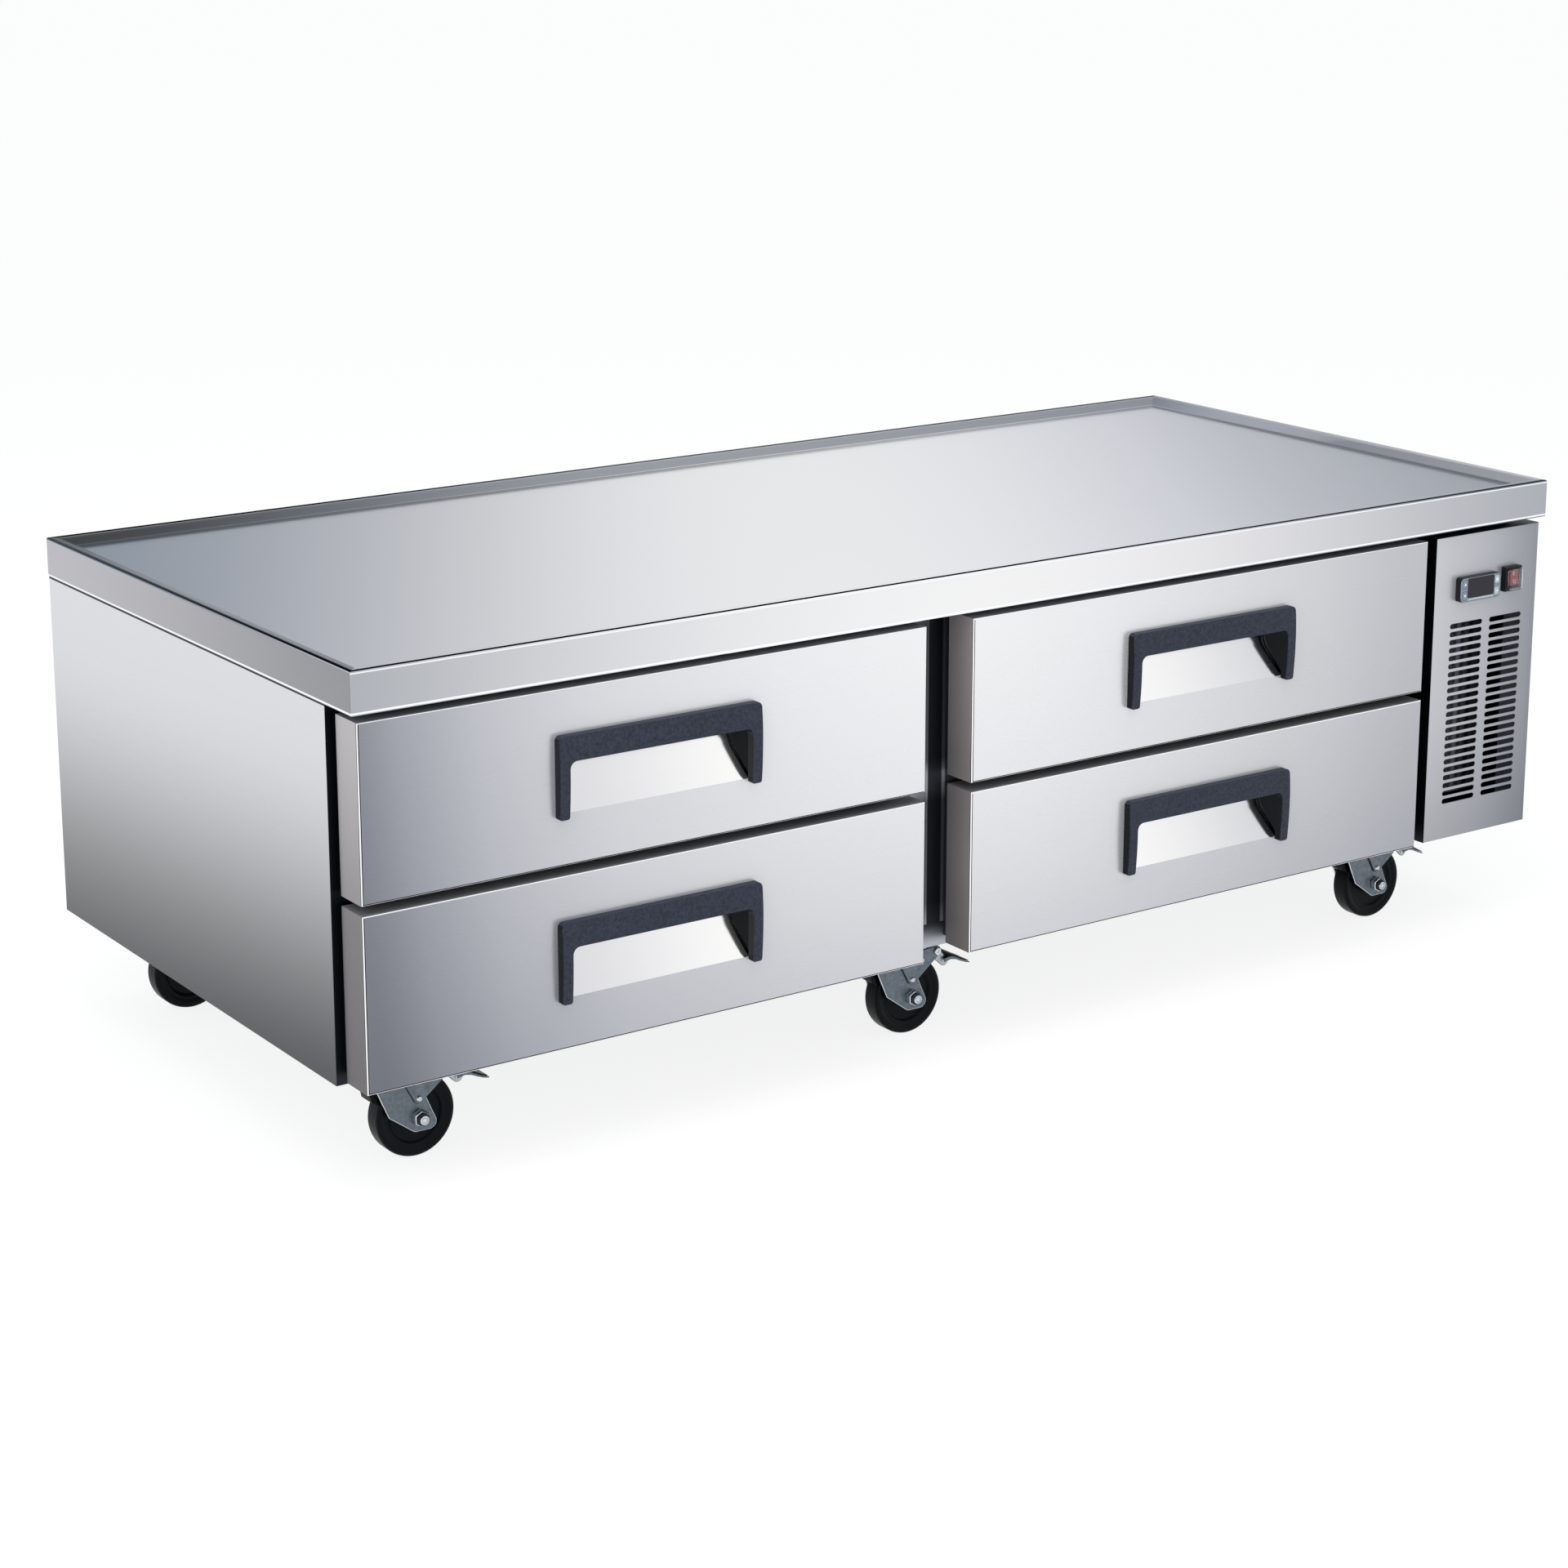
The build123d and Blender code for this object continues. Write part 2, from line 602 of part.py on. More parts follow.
# Front grille: a folded cover with two columns of air slots and the openings for the controls
with BuildPart() as grille_panel:
    right, high = GRILLE_LEFT + GRILLE_WIDTH, GRILLE_LOW + GRILLE_HEIGHT
    block((GRILLE_LEFT, GRILLE_FACE, GRILLE_LOW), (right, BODY_FRONT, high))
    chamfer(grille_panel.faces().sort_by(Axis.Y)[0].edges(), length=FOLD)
    block(
        (GRILLE_LEFT + SHEET, GRILLE_FACE + SHEET, GRILLE_LOW + SHEET),
        (right - SHEET, BODY_FRONT, high - SHEET),
        mode=Mode.SUBTRACT,
    )
    with BuildSketch(Plane.XZ.offset(-GRILLE_FACE)):
        column = SLOT_LENGTH + SLOT_GAP
        centre_x = GRILLE_LEFT + SLOT_MARGIN + SLOT_LENGTH + SLOT_GAP / 2
        centre_z = high - SLOT_TOP - (SLOT_ROWS - 1) / 2 * SLOT_PITCH
        with Locations((centre_x, centre_z)):
            with GridLocations(column, SLOT_PITCH, 2, SLOT_ROWS):
                Rectangle(SLOT_LENGTH, SLOT_HEIGHT)
        with Locations(CONTROL_CENTRE):
            Rectangle(CONTROL_BODY[0], CONTROL_BODY[1])
        with Locations(SWITCH_CENTRE):
            Rectangle(SWITCH_BODY[0], SWITCH_BODY[1])
    extrude(amount=-SHEET, mode=Mode.SUBTRACT)
save(grille_panel, "grille_panel")

# Controller: a rounded bezel on the panel, its body behind, a display recess and four key wells
with BuildPart() as controller:
    bezel_front = GRILLE_FACE - CONTROL_PROUD
    with BuildSketch(Plane.XZ.offset(-GRILLE_FACE)):
        with Locations(CONTROL_CENTRE):
            RectangleRounded(CONTROL_SIZE[0], CONTROL_SIZE[1], CONTROL_CORNER)
    extrude(amount=CONTROL_PROUD)
    with BuildSketch(Plane.XZ.offset(-GRILLE_FACE)):
        with Locations(CONTROL_CENTRE):
            Rectangle(CONTROL_BODY[0], CONTROL_BODY[1])
    extrude(amount=-CONTROL_BODY[2])
    with BuildSketch(Plane.XZ.offset(-bezel_front)):
        with Locations(CONTROL_CENTRE):
            Rectangle(WINDOW_SIZE[0], WINDOW_SIZE[1])
    extrude(amount=-WINDOW_DEEP, mode=Mode.SUBTRACT)
    with BuildSketch(Plane.XZ.offset(-bezel_front)):
        for dx, dz in KEYS.values():
            with Locations((CONTROL_CENTRE[0] + dx, CONTROL_CENTRE[1] + dz)):
                Rectangle(KEY_SIZE[0] + 2 * KEY_CLEARANCE, KEY_SIZE[1] + 2 * KEY_CLEARANCE)
    extrude(amount=-(KEY_DEPTH + KEY_TRAVEL + KEY_CLEARANCE), mode=Mode.SUBTRACT)
save(controller, "controller")

for key_name, (dx, dz) in KEYS.items():
    with BuildPart() as key:
        with BuildSketch(Plane.XZ.offset(-(GRILLE_FACE - CONTROL_PROUD - KEY_PROUD))):
            with Locations((CONTROL_CENTRE[0] + dx, CONTROL_CENTRE[1] + dz)):
                Rectangle(KEY_SIZE[0], KEY_SIZE[1])
        extrude(amount=-(KEY_DEPTH + KEY_PROUD))
    save(key, key_name)

# Main switch: a square housing with a well for the rocker
ROCKER_PIVOT = (GRILLE_FACE + 2, SWITCH_CENTRE[1])
with BuildPart() as switch_housing:
    with BuildSketch(Plane.XZ.offset(-GRILLE_FACE)):
        with Locations(SWITCH_CENTRE):
            Rectangle(SWITCH_SIZE[0], SWITCH_SIZE[1])
    extrude(amount=SWITCH_PROUD)
    with BuildSketch(Plane.XZ.offset(-GRILLE_FACE)):
        with Locations(SWITCH_CENTRE):
            Rectangle(SWITCH_BODY[0], SWITCH_BODY[1])
    extrude(amount=-SWITCH_BODY[2])
    with BuildSketch(Plane.XZ.offset(-(GRILLE_FACE - SWITCH_PROUD))):
        with Locations(SWITCH_CENTRE):
            Rectangle(ROCKER_SIZE[0] + 1, ROCKER_SIZE[1] + 2)
    extrude(amount=-(SWITCH_PROUD + ROCKER_DEEP), mode=Mode.SUBTRACT)
save(switch_housing, "switch_housing")

# Rocker, which rests with its upper end pressed in
with BuildPart() as rocker:
    turn = radians(ROCKER_TILT)
    with BuildSketch(Plane.YZ.offset(SWITCH_CENTRE[0] - ROCKER_SIZE[0] / 2)):
        with BuildLine():
            corners = [
                (
                    ROCKER_PIVOT[0] - out * cos(turn) + along * sin(turn),
                    ROCKER_PIVOT[1] + along * cos(turn) + out * sin(turn),
                )
                for along, out in ROCKER_OUTLINE
            ]
            Polyline(*corners, close=True)
        make_face()
    extrude(amount=ROCKER_SIZE[0])
save(rocker, "rocker")

# Finned coils: a comb of fins between two end plates
COIL_PLATE = 1.5
COIL_LIP = 4                    # of the end plates, round the fins
GROOVE_DEPTH = 7
CONDENSER_LOW = (PARTITION + 20, BODY_FRONT + 22, BODY_BOTTOM + 40)
CONDENSER_HIGH = (BODY_RIGHT - 20, BODY_FRONT + 62, BODY_BOTTOM + 315)
EVAPORATOR_LOW = (BAYS["right"] + 150, DIVIDER_BACK + 21, FLOOR + 60)
EVAPORATOR_HIGH = (BAYS["right"] + 390, CHAMBER_BACK - 10, FLOOR + 280)


def finned_coil(name, low, high, pitch):
    """Coil block with fin grooves cut in its front and back."""
    centre_x, centre_z = (low[0] + high[0]) / 2, (low[2] + high[2]) / 2
    grooves = int((high[0] - low[0]) / pitch) - 1
    with BuildPart() as coil:
        block(low, high)
        for face in (low[1], high[1]):
            with Locations((centre_x, face, centre_z)):
                with GridLocations(pitch, 1, grooves, 1):
                    Box(
                        pitch / 2, 2 * GROOVE_DEPTH, high[2] - low[2] - 3 * COIL_LIP,
                        mode=Mode.SUBTRACT,
                    )
        for x in (low[0] - COIL_PLATE, high[0]):
            block(
                (x, low[1] - COIL_LIP, low[2] - COIL_LIP),
                (x + COIL_PLATE, high[1] + COIL_LIP, high[2] + COIL_LIP),
            )
    save(coil, name)


finned_coil("condenser_coil", CONDENSER_LOW, CONDENSER_HIGH, 16)
finned_coil("evaporator_coil", EVAPORATOR_LOW, EVAPORATOR_HIGH, 20)

# Fans: sheet blades on the flats of a hub that reaches back to its motor
FAN_BLADES = 5
HUB_RADIUS = 14
HUB_LENGTH = 24
BLADE_PLANE = 9                 # middle of the blades behind the hub's front
BLADE_SHEET = 1.6
BLADE_PITCH = 28                # degrees
BLADE_ROOT = 9
BLADE_HALF_ROOT = 8
BLADE_HALF_TIP = 19
BLADE_CLIP = 8                  # of the blade's two outer corners
FAN_MOTOR = (52, 38, 52)
STRAP = 2
STRAP_WIDTH = 16


def fan_blades(name, hub, tip_radius):
    """Axial fan on a horizontal axis, with its hub's front face at the given place."""
    x, y, z = hub
    span = tip_radius - BLADE_ROOT
    shoulder, clipped = span - BLADE_CLIP, BLADE_HALF_TIP - BLADE_CLIP
    pitch = radians(BLADE_PITCH)
    with BuildPart() as fan:
        with BuildSketch(Plane.XZ.offset(-y)):
            with Locations((x, z)):
                RegularPolygon(HUB_RADIUS, FAN_BLADES, rotation=-90)
        extrude(amount=-HUB_LENGTH)
        for blade in range(FAN_BLADES):
            turn = radians(90 + 360 / FAN_BLADES * blade)
            root = (x + cos(turn) * BLADE_ROOT, y + BLADE_PLANE, z + sin(turn) * BLADE_ROOT)
            normal = (-sin(turn) * sin(pitch), cos(pitch), cos(turn) * sin(pitch))
            with BuildSketch(Plane(origin=root, x_dir=(cos(turn), 0, sin(turn)), z_dir=normal)):
                Polygon(
                    (0, -BLADE_HALF_ROOT), (shoulder, -BLADE_HALF_TIP), (span, -clipped),
                    (span, clipped), (shoulder, BLADE_HALF_TIP), (0, BLADE_HALF_ROOT),
                    align=None,
                )
            extrude(amount=BLADE_SHEET / 2, both=True)
    save(fan, name)


def fan_motor(hub, strap_plane, strap_low, strap_high):
    """Motor behind a fan's hub, with the upright strap that carries it."""
    x, y, z = hub
    front = y + HUB_LENGTH + SEAL_GAP
    block(
        (x - FAN_MOTOR[0] / 2, front, z - FAN_MOTOR[2] / 2),
        (x + FAN_MOTOR[0] / 2, front + FAN_MOTOR[1], z + FAN_MOTOR[2] / 2),
    )
    block(
        (x - STRAP_WIDTH / 2, strap_plane, strap_low),
        (x + STRAP_WIDTH / 2, strap_plane + STRAP, strap_high),
    )


# Condenser shroud: a shallow duct behind the coil with a round mouth, and the motor on a strap across it
SHROUD_SHEET = 1.5
SHROUD_FRONT = CONDENSER_HIGH[1] + COIL_LIP
SHROUD_BACK = SHROUD_FRONT + 30
SHROUD_LOW = CONDENSER_LOW[2] - COIL_LIP
SHROUD_HIGH = CONDENSER_HIGH[2] + COIL_LIP
CONDENSER_TIP = 70
MOUTH_CLEARANCE = 4
CONDENSER_FAN = (
    (CONDENSER_LOW[0] + CONDENSER_HIGH[0]) / 2,
    SHROUD_FRONT + 14,
    (SHROUD_LOW + SHROUD_HIGH) / 2,
)
with BuildPart() as condenser_shroud:
    fan_x, fan_y, fan_z = CONDENSER_FAN
    block(
        (CONDENSER_LOW[0] - COIL_PLATE, SHROUD_FRONT, SHROUD_LOW),
        (CONDENSER_HIGH[0] + COIL_PLATE, SHROUD_BACK, SHROUD_HIGH),
    )
    block(
        (CONDENSER_LOW[0], SHROUD_FRONT, SHROUD_LOW + SHROUD_SHEET),
        (CONDENSER_HIGH[0], SHROUD_BACK - SHROUD_SHEET, SHROUD_HIGH - SHROUD_SHEET),
        mode=Mode.SUBTRACT,
    )
    with BuildSketch(Plane.XZ.offset(-SHROUD_BACK)):
        with Locations((fan_x, fan_z)):
            Circle(CONDENSER_TIP + MOUTH_CLEARANCE)
    extrude(amount=SHROUD_SHEET, mode=Mode.SUBTRACT)
    strap_reach = CONDENSER_TIP + 3 * MOUTH_CLEARANCE
    strap_plane = fan_y + HUB_LENGTH + SEAL_GAP
    fan_motor(CONDENSER_FAN, strap_plane, fan_z - strap_reach, fan_z + strap_reach)
    for foot in (fan_z - strap_reach, fan_z + strap_reach - STRAP):
        block(
            (fan_x - STRAP_WIDTH / 2, SHROUD_BACK, foot),
            (fan_x + STRAP_WIDTH / 2, strap_plane, foot + STRAP),
        )
save(condenser_shroud, "condenser_shroud")
fan_blades("condenser_fan", CONDENSER_FAN, CONDENSER_TIP)

# Evaporator housing: a sheet cover over the coil, open on the coil's side, with the fan's mouth and motor
HOUSING_LOW = (BAYS["right"] + 130, DIVIDER_BACK + 11, FLOOR + 40)
HOUSING_HIGH = (BAYS["right"] + 610, CHAMBER_BACK, FLOOR + 300)
EVAPORATOR_TIP = 68
EVAPORATOR_FAN = (BAYS["right"] + 510, HOUSING_LOW[1] + 4, FLOOR + 170)
with BuildPart() as evaporator_housing:
    fan_x, fan_y, fan_z = EVAPORATOR_FAN
    block(HOUSING_LOW, HOUSING_HIGH)
    block(
        (HOUSING_LOW[0], HOUSING_LOW[1] + SHEET, HOUSING_LOW[2] + SHEET),
        (HOUSING_HIGH[0] - SHEET, CHAMBER_BACK, HOUSING_HIGH[2] - SHEET),
        mode=Mode.SUBTRACT,
    )
    with BuildSketch(Plane.XZ.offset(-HOUSING_LOW[1])):
        with Locations((fan_x, fan_z)):
            Circle(EVAPORATOR_TIP + MOUTH_CLEARANCE)
    extrude(amount=-SHEET, mode=Mode.SUBTRACT)
    strap_plane = fan_y + HUB_LENGTH + SEAL_GAP + FAN_MOTOR[1] / 2
    fan_motor(EVAPORATOR_FAN, strap_plane, HOUSING_LOW[2] + SHEET, HOUSING_HIGH[2] - SHEET)
save(evaporator_housing, "evaporator_housing")
fan_blades("evaporator_fan", EVAPORATOR_FAN, EVAPORATOR_TIP)

# Compressor: a welded steel pot on a base plate with four rubber feet, and its terminal box
COMPRESSOR_CENTRE = ((PARTITION + BODY_RIGHT) / 2, BODY_FRONT + 300)
COMPRESSOR_LOW = BODY_BOTTOM + BASE_SHEET
POT_RADIUS = 62
POT_HEIGHT = 152
COMPRESSOR_BASE = (150, 190, 4)
FOOT = 20
FOOT_HEIGHT = 12
FOOT_SPACING = (118, 160)
TERMINAL_BOX = (50, 40, 60)
TERMINAL_HEIGHT = COMPRESSOR_LOW + 90
with BuildPart() as compressor:
    with BuildSketch(Plane.XY.offset(COMPRESSOR_LOW + FOOT_HEIGHT + COMPRESSOR_BASE[2])):
        with Locations(COMPRESSOR_CENTRE):
            Circle(POT_RADIUS)
    extrude(amount=POT_HEIGHT)
    with Locations((*COMPRESSOR_CENTRE, COMPRESSOR_LOW + FOOT_HEIGHT + COMPRESSOR_BASE[2] / 2)):
        Box(*COMPRESSOR_BASE)
    with Locations((*COMPRESSOR_CENTRE, COMPRESSOR_LOW + FOOT_HEIGHT / 2)):
        with GridLocations(*FOOT_SPACING, 2, 2):
            Box(FOOT, FOOT, FOOT_HEIGHT)
    with Locations((COMPRESSOR_CENTRE[0], COMPRESSOR_CENTRE[1] - POT_RADIUS, TERMINAL_HEIGHT)):
        Box(*TERMINAL_BOX)
save(compressor, "compressor")
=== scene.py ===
import json
from math import cos, radians, sin

import bmesh
import bpy
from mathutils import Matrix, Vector

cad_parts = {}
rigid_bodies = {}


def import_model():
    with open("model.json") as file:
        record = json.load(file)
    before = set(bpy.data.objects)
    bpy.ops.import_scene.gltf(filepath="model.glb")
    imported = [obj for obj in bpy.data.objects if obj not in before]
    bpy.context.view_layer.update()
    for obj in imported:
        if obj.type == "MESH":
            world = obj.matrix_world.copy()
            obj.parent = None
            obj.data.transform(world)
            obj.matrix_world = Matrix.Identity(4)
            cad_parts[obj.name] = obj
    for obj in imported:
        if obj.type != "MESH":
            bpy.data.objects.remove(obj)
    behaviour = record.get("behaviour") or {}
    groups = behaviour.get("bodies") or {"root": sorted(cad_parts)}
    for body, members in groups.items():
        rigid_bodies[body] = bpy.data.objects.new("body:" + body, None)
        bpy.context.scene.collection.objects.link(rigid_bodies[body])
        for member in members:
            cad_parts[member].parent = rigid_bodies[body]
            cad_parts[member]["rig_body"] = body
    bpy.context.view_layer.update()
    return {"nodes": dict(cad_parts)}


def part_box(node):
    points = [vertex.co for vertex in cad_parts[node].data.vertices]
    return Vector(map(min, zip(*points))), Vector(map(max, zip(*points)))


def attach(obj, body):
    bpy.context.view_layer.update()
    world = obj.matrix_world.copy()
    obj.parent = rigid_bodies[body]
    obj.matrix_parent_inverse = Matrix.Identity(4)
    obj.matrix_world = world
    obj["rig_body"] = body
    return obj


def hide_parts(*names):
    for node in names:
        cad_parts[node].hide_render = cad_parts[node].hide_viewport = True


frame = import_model()

# The photographer's place: a long lens from the front left, a little above the worktop. The photograph's uprights
# hardly converge, so the lens looks lower than its axis by a tenth of the frame.
bpy.ops.object.select_all(action="DESELECT")
turned_by, tipped_by = radians(34.68), radians(13.8)
sight = Vector((sin(turned_by) * cos(tipped_by), cos(turned_by) * cos(tipped_by), -sin(tipped_by)))
bpy.ops.object.camera_add(location=(-2.5357, -3.5602, 1.5332), rotation=sight.to_track_quat("-Z", "Y").to_euler())
camera = bpy.context.object
camera.data.lens = 77.87        # mm, on a frame 36 mm wide
camera.data.shift_y = -0.1
camera.data.clip_end = 80
bpy.context.scene.camera = camera


# The studio: a pale paper floor, a white room, a wide lamp above and two weaker ones, left and in front. The paper is
# bright where the lens or a polished face sees it, and still takes a faint shadow.


def linear(code):
    """The linear colour of an sRGB hex code."""
    parts = [int(code[i:i + 2], 16) / 255 for i in (0, 2, 4)]
    return [p / 12.92 if p <= 0.04045 else ((p + 0.055) / 1.055) ** 2.4 for p in parts] + [1.0]


def add(tree, kind, inputs=(), **settings):
    """One shader node with its settings. Each input is set to a value, or joined to another node's output."""
    made = tree.nodes.new("ShaderNode" + kind)
    for name, value in settings.items():
        setattr(made, name, value)
    for name, value in dict(inputs).items():
        if isinstance(value, bpy.types.NodeSocket):
            tree.links.new(value, made.inputs[name])
        else:
            made.inputs[name].default_value = value
    return made


def blank(name):
    """A new material with an empty node tree."""
    made = bpy.data.materials.new(name)
    made.use_nodes = True
    made.node_tree.nodes.clear()
    return made


def looked_at(tree):
    """1 for rays from the lens, straight or by way of a polished or clear piece, and 0 for all others."""
    rays = add(tree, "LightPath").outputs
    seen = add(tree, "Math", {0: rays["Is Camera Ray"], 1: rays["Is Glossy Ray"]}, operation="MAXIMUM").outputs[0]
    return add(tree, "Math", {0: seen, 1: rays["Is Transmission Ray"]}, operation="MAXIMUM").outputs[0]


bpy.ops.mesh.primitive_plane_add(size=60, location=(0, 0, 0))
floor = bpy.context.object
floor.name = "studio_floor"
paper = blank("matt_paper")
tree = paper.node_tree
seen = looked_at(tree)
glow = add(tree, "Emission", {"Color": linear("FFFFFF"), "Strength": 0.84}).outputs[0]
shaded = add(tree, "BsdfDiffuse", {"Color": linear("7C7C7C")}).outputs[0]
bright = add(tree, "AddShader", {0: glow, 1: shaded}).outputs[0]
plain = add(tree, "BsdfDiffuse", {"Color": linear("E6E6E6")}).outputs[0]
either = add(tree, "MixShader", {0: seen, 1: plain, 2: bright}).outputs[0]
add(tree, "OutputMaterial", {"Surface": either})
floor.data.materials.append(paper)

room = bpy.data.worlds.new("white_room")
bpy.context.scene.world = room
room.use_nodes = True
tree = room.node_tree
tree.nodes.clear()
seen = looked_at(tree)
white = add(tree, "Background", {"Color": linear("FFFFFF"), "Strength": 1.0}).outputs[0]
soft = add(tree, "Background", {"Color": linear("F4F6F8"), "Strength": 0.72}).outputs[0]
add(tree, "OutputWorld", {"Surface": add(tree, "MixShader", {0: seen, 1: soft, 2: white}).outputs[0]})

for name, place, size, power in (
    ("lamp_above", (-0.6, -0.8, 3.4), 3.6, 62),
    ("lamp_left", (-3.6, -1.6, 2.2), 2.4, 26),
    ("lamp_front", (-2.0, -4.6, 1.6), 3.0, 44),
):
    toward = (Vector((0, 0, 0.35)) - Vector(place)).to_track_quat("-Z", "Y").to_euler()
    bpy.ops.object.light_add(type="AREA", location=place, rotation=toward)
    lamp = bpy.context.object
    lamp.name = name
    lamp.data.size = size
    lamp.data.energy = power
    lamp.visible_glossy = False     # mirrored, the lamps would burn white patches into the worktop
bpy.context.scene.view_settings.view_transform = "Standard"


# Worktop: one stainless sheet folded into a shallow pan, with a raised rim round its edge and sides turned down
# 51 mm. Its tones are a painted sheen and painted reflections of the room, and the sheet is polished along its
# folds, which carry painted highlights and painted dark lines.


def spread(tree, noise, middle, share, reach):
    """A value that noise moves by a share of it either way. Noise stays mostly within reach of its middle, 0.5."""
    return add(tree, "MapRange", {
        "Value": noise, "From Min": 0.5 - reach, "From Max": 0.5 + reach, "To Min": middle * (1 - share),
        "To Max": middle * (1 + share)}).outputs["Result"]


def brushed_steel(name, fades, roughness=0.27, along=(400, 3, 3), scratch=0.004, tint=1.0, metallic=1.0,
                  blend="B_SPLINE"):
    """Stainless sheet with a brushed face. A fade is an axis with tones at places along it, in mm, and the fades
    multiply. Most fades are painted light and shade: a painted sheen, painted reflections of the room and painted
    shade. The streaks are as long and as wide, in mm, as along says on each axis, which is coarser than the real
    grit, so that they show. A tint under 1 takes the glare off at a low angle, as the film on a worktop does."""
    steel = blank(name)
    tree = steel.node_tree
    place = add(tree, "TexCoord").outputs["Object"]
    tone = None
    for direction, stops in fades:
        first, last = stops[0][0], stops[-1][0]
        where = add(tree, "VectorMath", {0: place, 1: direction}, operation="DOT_PRODUCT").outputs["Value"]
        share = add(tree, "MapRange", {"Value": where, "From Min": first / 1000, "From Max": last / 1000})
        fade = add(tree, "ValToRGB", {"Fac": share.outputs["Result"]})
        fade.color_ramp.interpolation = blend
        fade.color_ramp.elements.remove(fade.color_ramp.elements[1])
        fade.color_ramp.elements[0].position = 0
        fade.color_ramp.elements[0].color = linear(stops[0][1])
        for at, code in stops[1:]:
            fade.color_ramp.elements.new((at - first) / (last - first)).color = linear(code)
        colour = fade.outputs["Color"]
        tone = colour if tone is None else add(
            tree, "VectorMath", {0: tone, 1: colour}, operation="MULTIPLY").outputs["Vector"]
    stretch = add(tree, "Mapping", {"Vector": place, "Scale": [1000 / size for size in along]}, vector_type="POINT")
    streaks = add(tree, "TexNoise", {"Vector": stretch.outputs[0], "Scale": 1.0, "Detail": 1.0}).outputs["Fac"]
    light = spread(tree, streaks, 1, scratch, 0.25)
    tone = add(tree, "VectorMath", {0: tone, "Scale": light}, operation="SCALE").outputs["Vector"]
    dull = spread(tree, streaks, roughness, 0.02, 0.25)
    ridges = add(tree, "Bump", {"Height": streaks, "Strength": 0.01, "Distance": 0.0001}).outputs["Normal"]
    face = add(tree, "BsdfPrincipled", {"Base Color": tone, "Metallic": metallic, "Roughness": dull,
                                        "Normal": ridges, "Specular Tint": (tint, tint, tint, 1.0)})
    add(tree, "OutputMaterial", {"Surface": face.outputs[0]})
    return steel


def hold(*pieces):
    """Select these pieces and nothing else, with the first one active."""
    bpy.ops.object.select_all(action="DESELECT")
    for piece in pieces:
        piece.select_set(True)
    bpy.context.view_layer.objects.active = pieces[0]


def edit(piece):
    """Open a piece for editing, with nothing on it selected."""
    hold(piece)
    bpy.ops.object.mode_set(mode="EDIT")
    bpy.ops.mesh.select_mode(type="VERT")
    bpy.ops.mesh.select_all(action="DESELECT")
    return bmesh.from_edit_mesh(piece.data)


def pick_faces(piece, test):
    """Select the faces of an open piece whose normal and middle, in mm, pass the test."""
    bpy.ops.mesh.select_mode(type="FACE")
    bpy.ops.mesh.select_all(action="DESELECT")
    shape = bmesh.from_edit_mesh(piece.data)
    for face in shape.faces:
        face.select_set(bool(test(face.normal, face.calc_center_median() * 1000)))
    bmesh.update_edit_mesh(piece.data)


def round_edges(piece, width, test, segments=2, strip=0):
    """Round the sharp edges of a closed piece whose two ends, in mm, pass the test. On a piece that has its finishes
    already, the rounded strips take the one numbered strip."""
    shape = edit(piece)
    bpy.ops.mesh.select_mode(type="EDGE")
    for edge in shape.edges:
        if len(edge.link_faces) == 2 and edge.calc_face_angle() > radians(25):
            if test(*[corner.co * 1000 for corner in edge.verts]):
                edge.select_set(True)
    bmesh.update_edit_mesh(piece.data)
    bpy.ops.mesh.bevel(offset=width / 1000, segments=segments, affect="EDGES", material=strip)
    bpy.ops.object.mode_set(mode="OBJECT")


def split(piece, direction, at):
    """Split a piece's faces along a plane across the direction, at a place in mm, without parting them."""
    edit(piece)
    bpy.ops.mesh.select_all(action="SELECT")
    bpy.ops.mesh.bisect(plane_co=Vector(direction) * at / 1000, plane_no=direction)
    bpy.ops.object.mode_set(mode="OBJECT")


def share_out(piece, finishes, choose):
    """Give each face of a piece one of its finishes, chosen by the face's normal and its middle, in mm."""
    for face in piece.data.polygons:
        face.material_index = finishes.index(choose(face.normal, face.center * 1000))


def settle(piece, name, body, finishes, nodes=()):
    """Give a modelled piece its name, finishes and smooth edges, and let it ride on its body."""
    hold(piece)
    bpy.ops.object.transform_apply(location=True, rotation=True, scale=True)
    piece.name = name
    for finish in finishes:
        piece.data.materials.append(finish)
    bpy.ops.object.shade_smooth_by_angle(angle=radians(50))
    even = piece.modifiers.new("even_shading", "WEIGHTED_NORMAL")
    even.keep_sharp = True
    bpy.ops.object.modifier_apply(modifier=even.name)
    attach(piece, body)
    if nodes:
        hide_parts(*nodes)
    return piece


# Painted sheen: the worktop's tones fall from white in its middle to a painted blue-grey shade towards both ends.
top_sheen_steel = brushed_steel("stainless_top_painted_sheen", [((1, -0.6, 0), [
    (-1160, "4C667E"), (-1000, "62778E"), (-800, "949BAA"), (-560, "C6C9D0"), (-300, "F2F4F9"), (-60, "FFFFFF"),
    (260, "F6F8FE"), (560, "CDD2DE"), (740, "B4B6C4"), (1000, "7C8B9A"), (1160, "69758A")])], 0.13, tint=0.8)
# The folds' painted highlight, nearly white, and the painted dark line beside the folds.
fold_steel = brushed_steel("stainless_fold_painted_highlight", [((1, 0, 0), [(-919, "F4F5F7"), (919, "FFFFFF")])], 0.14)
dark_fold_steel = brushed_steel("stainless_fold_shaded", [((1, 0, 0), [(-919, "15181C"), (919, "202328")])], 0.2,
                                tint=0.4)
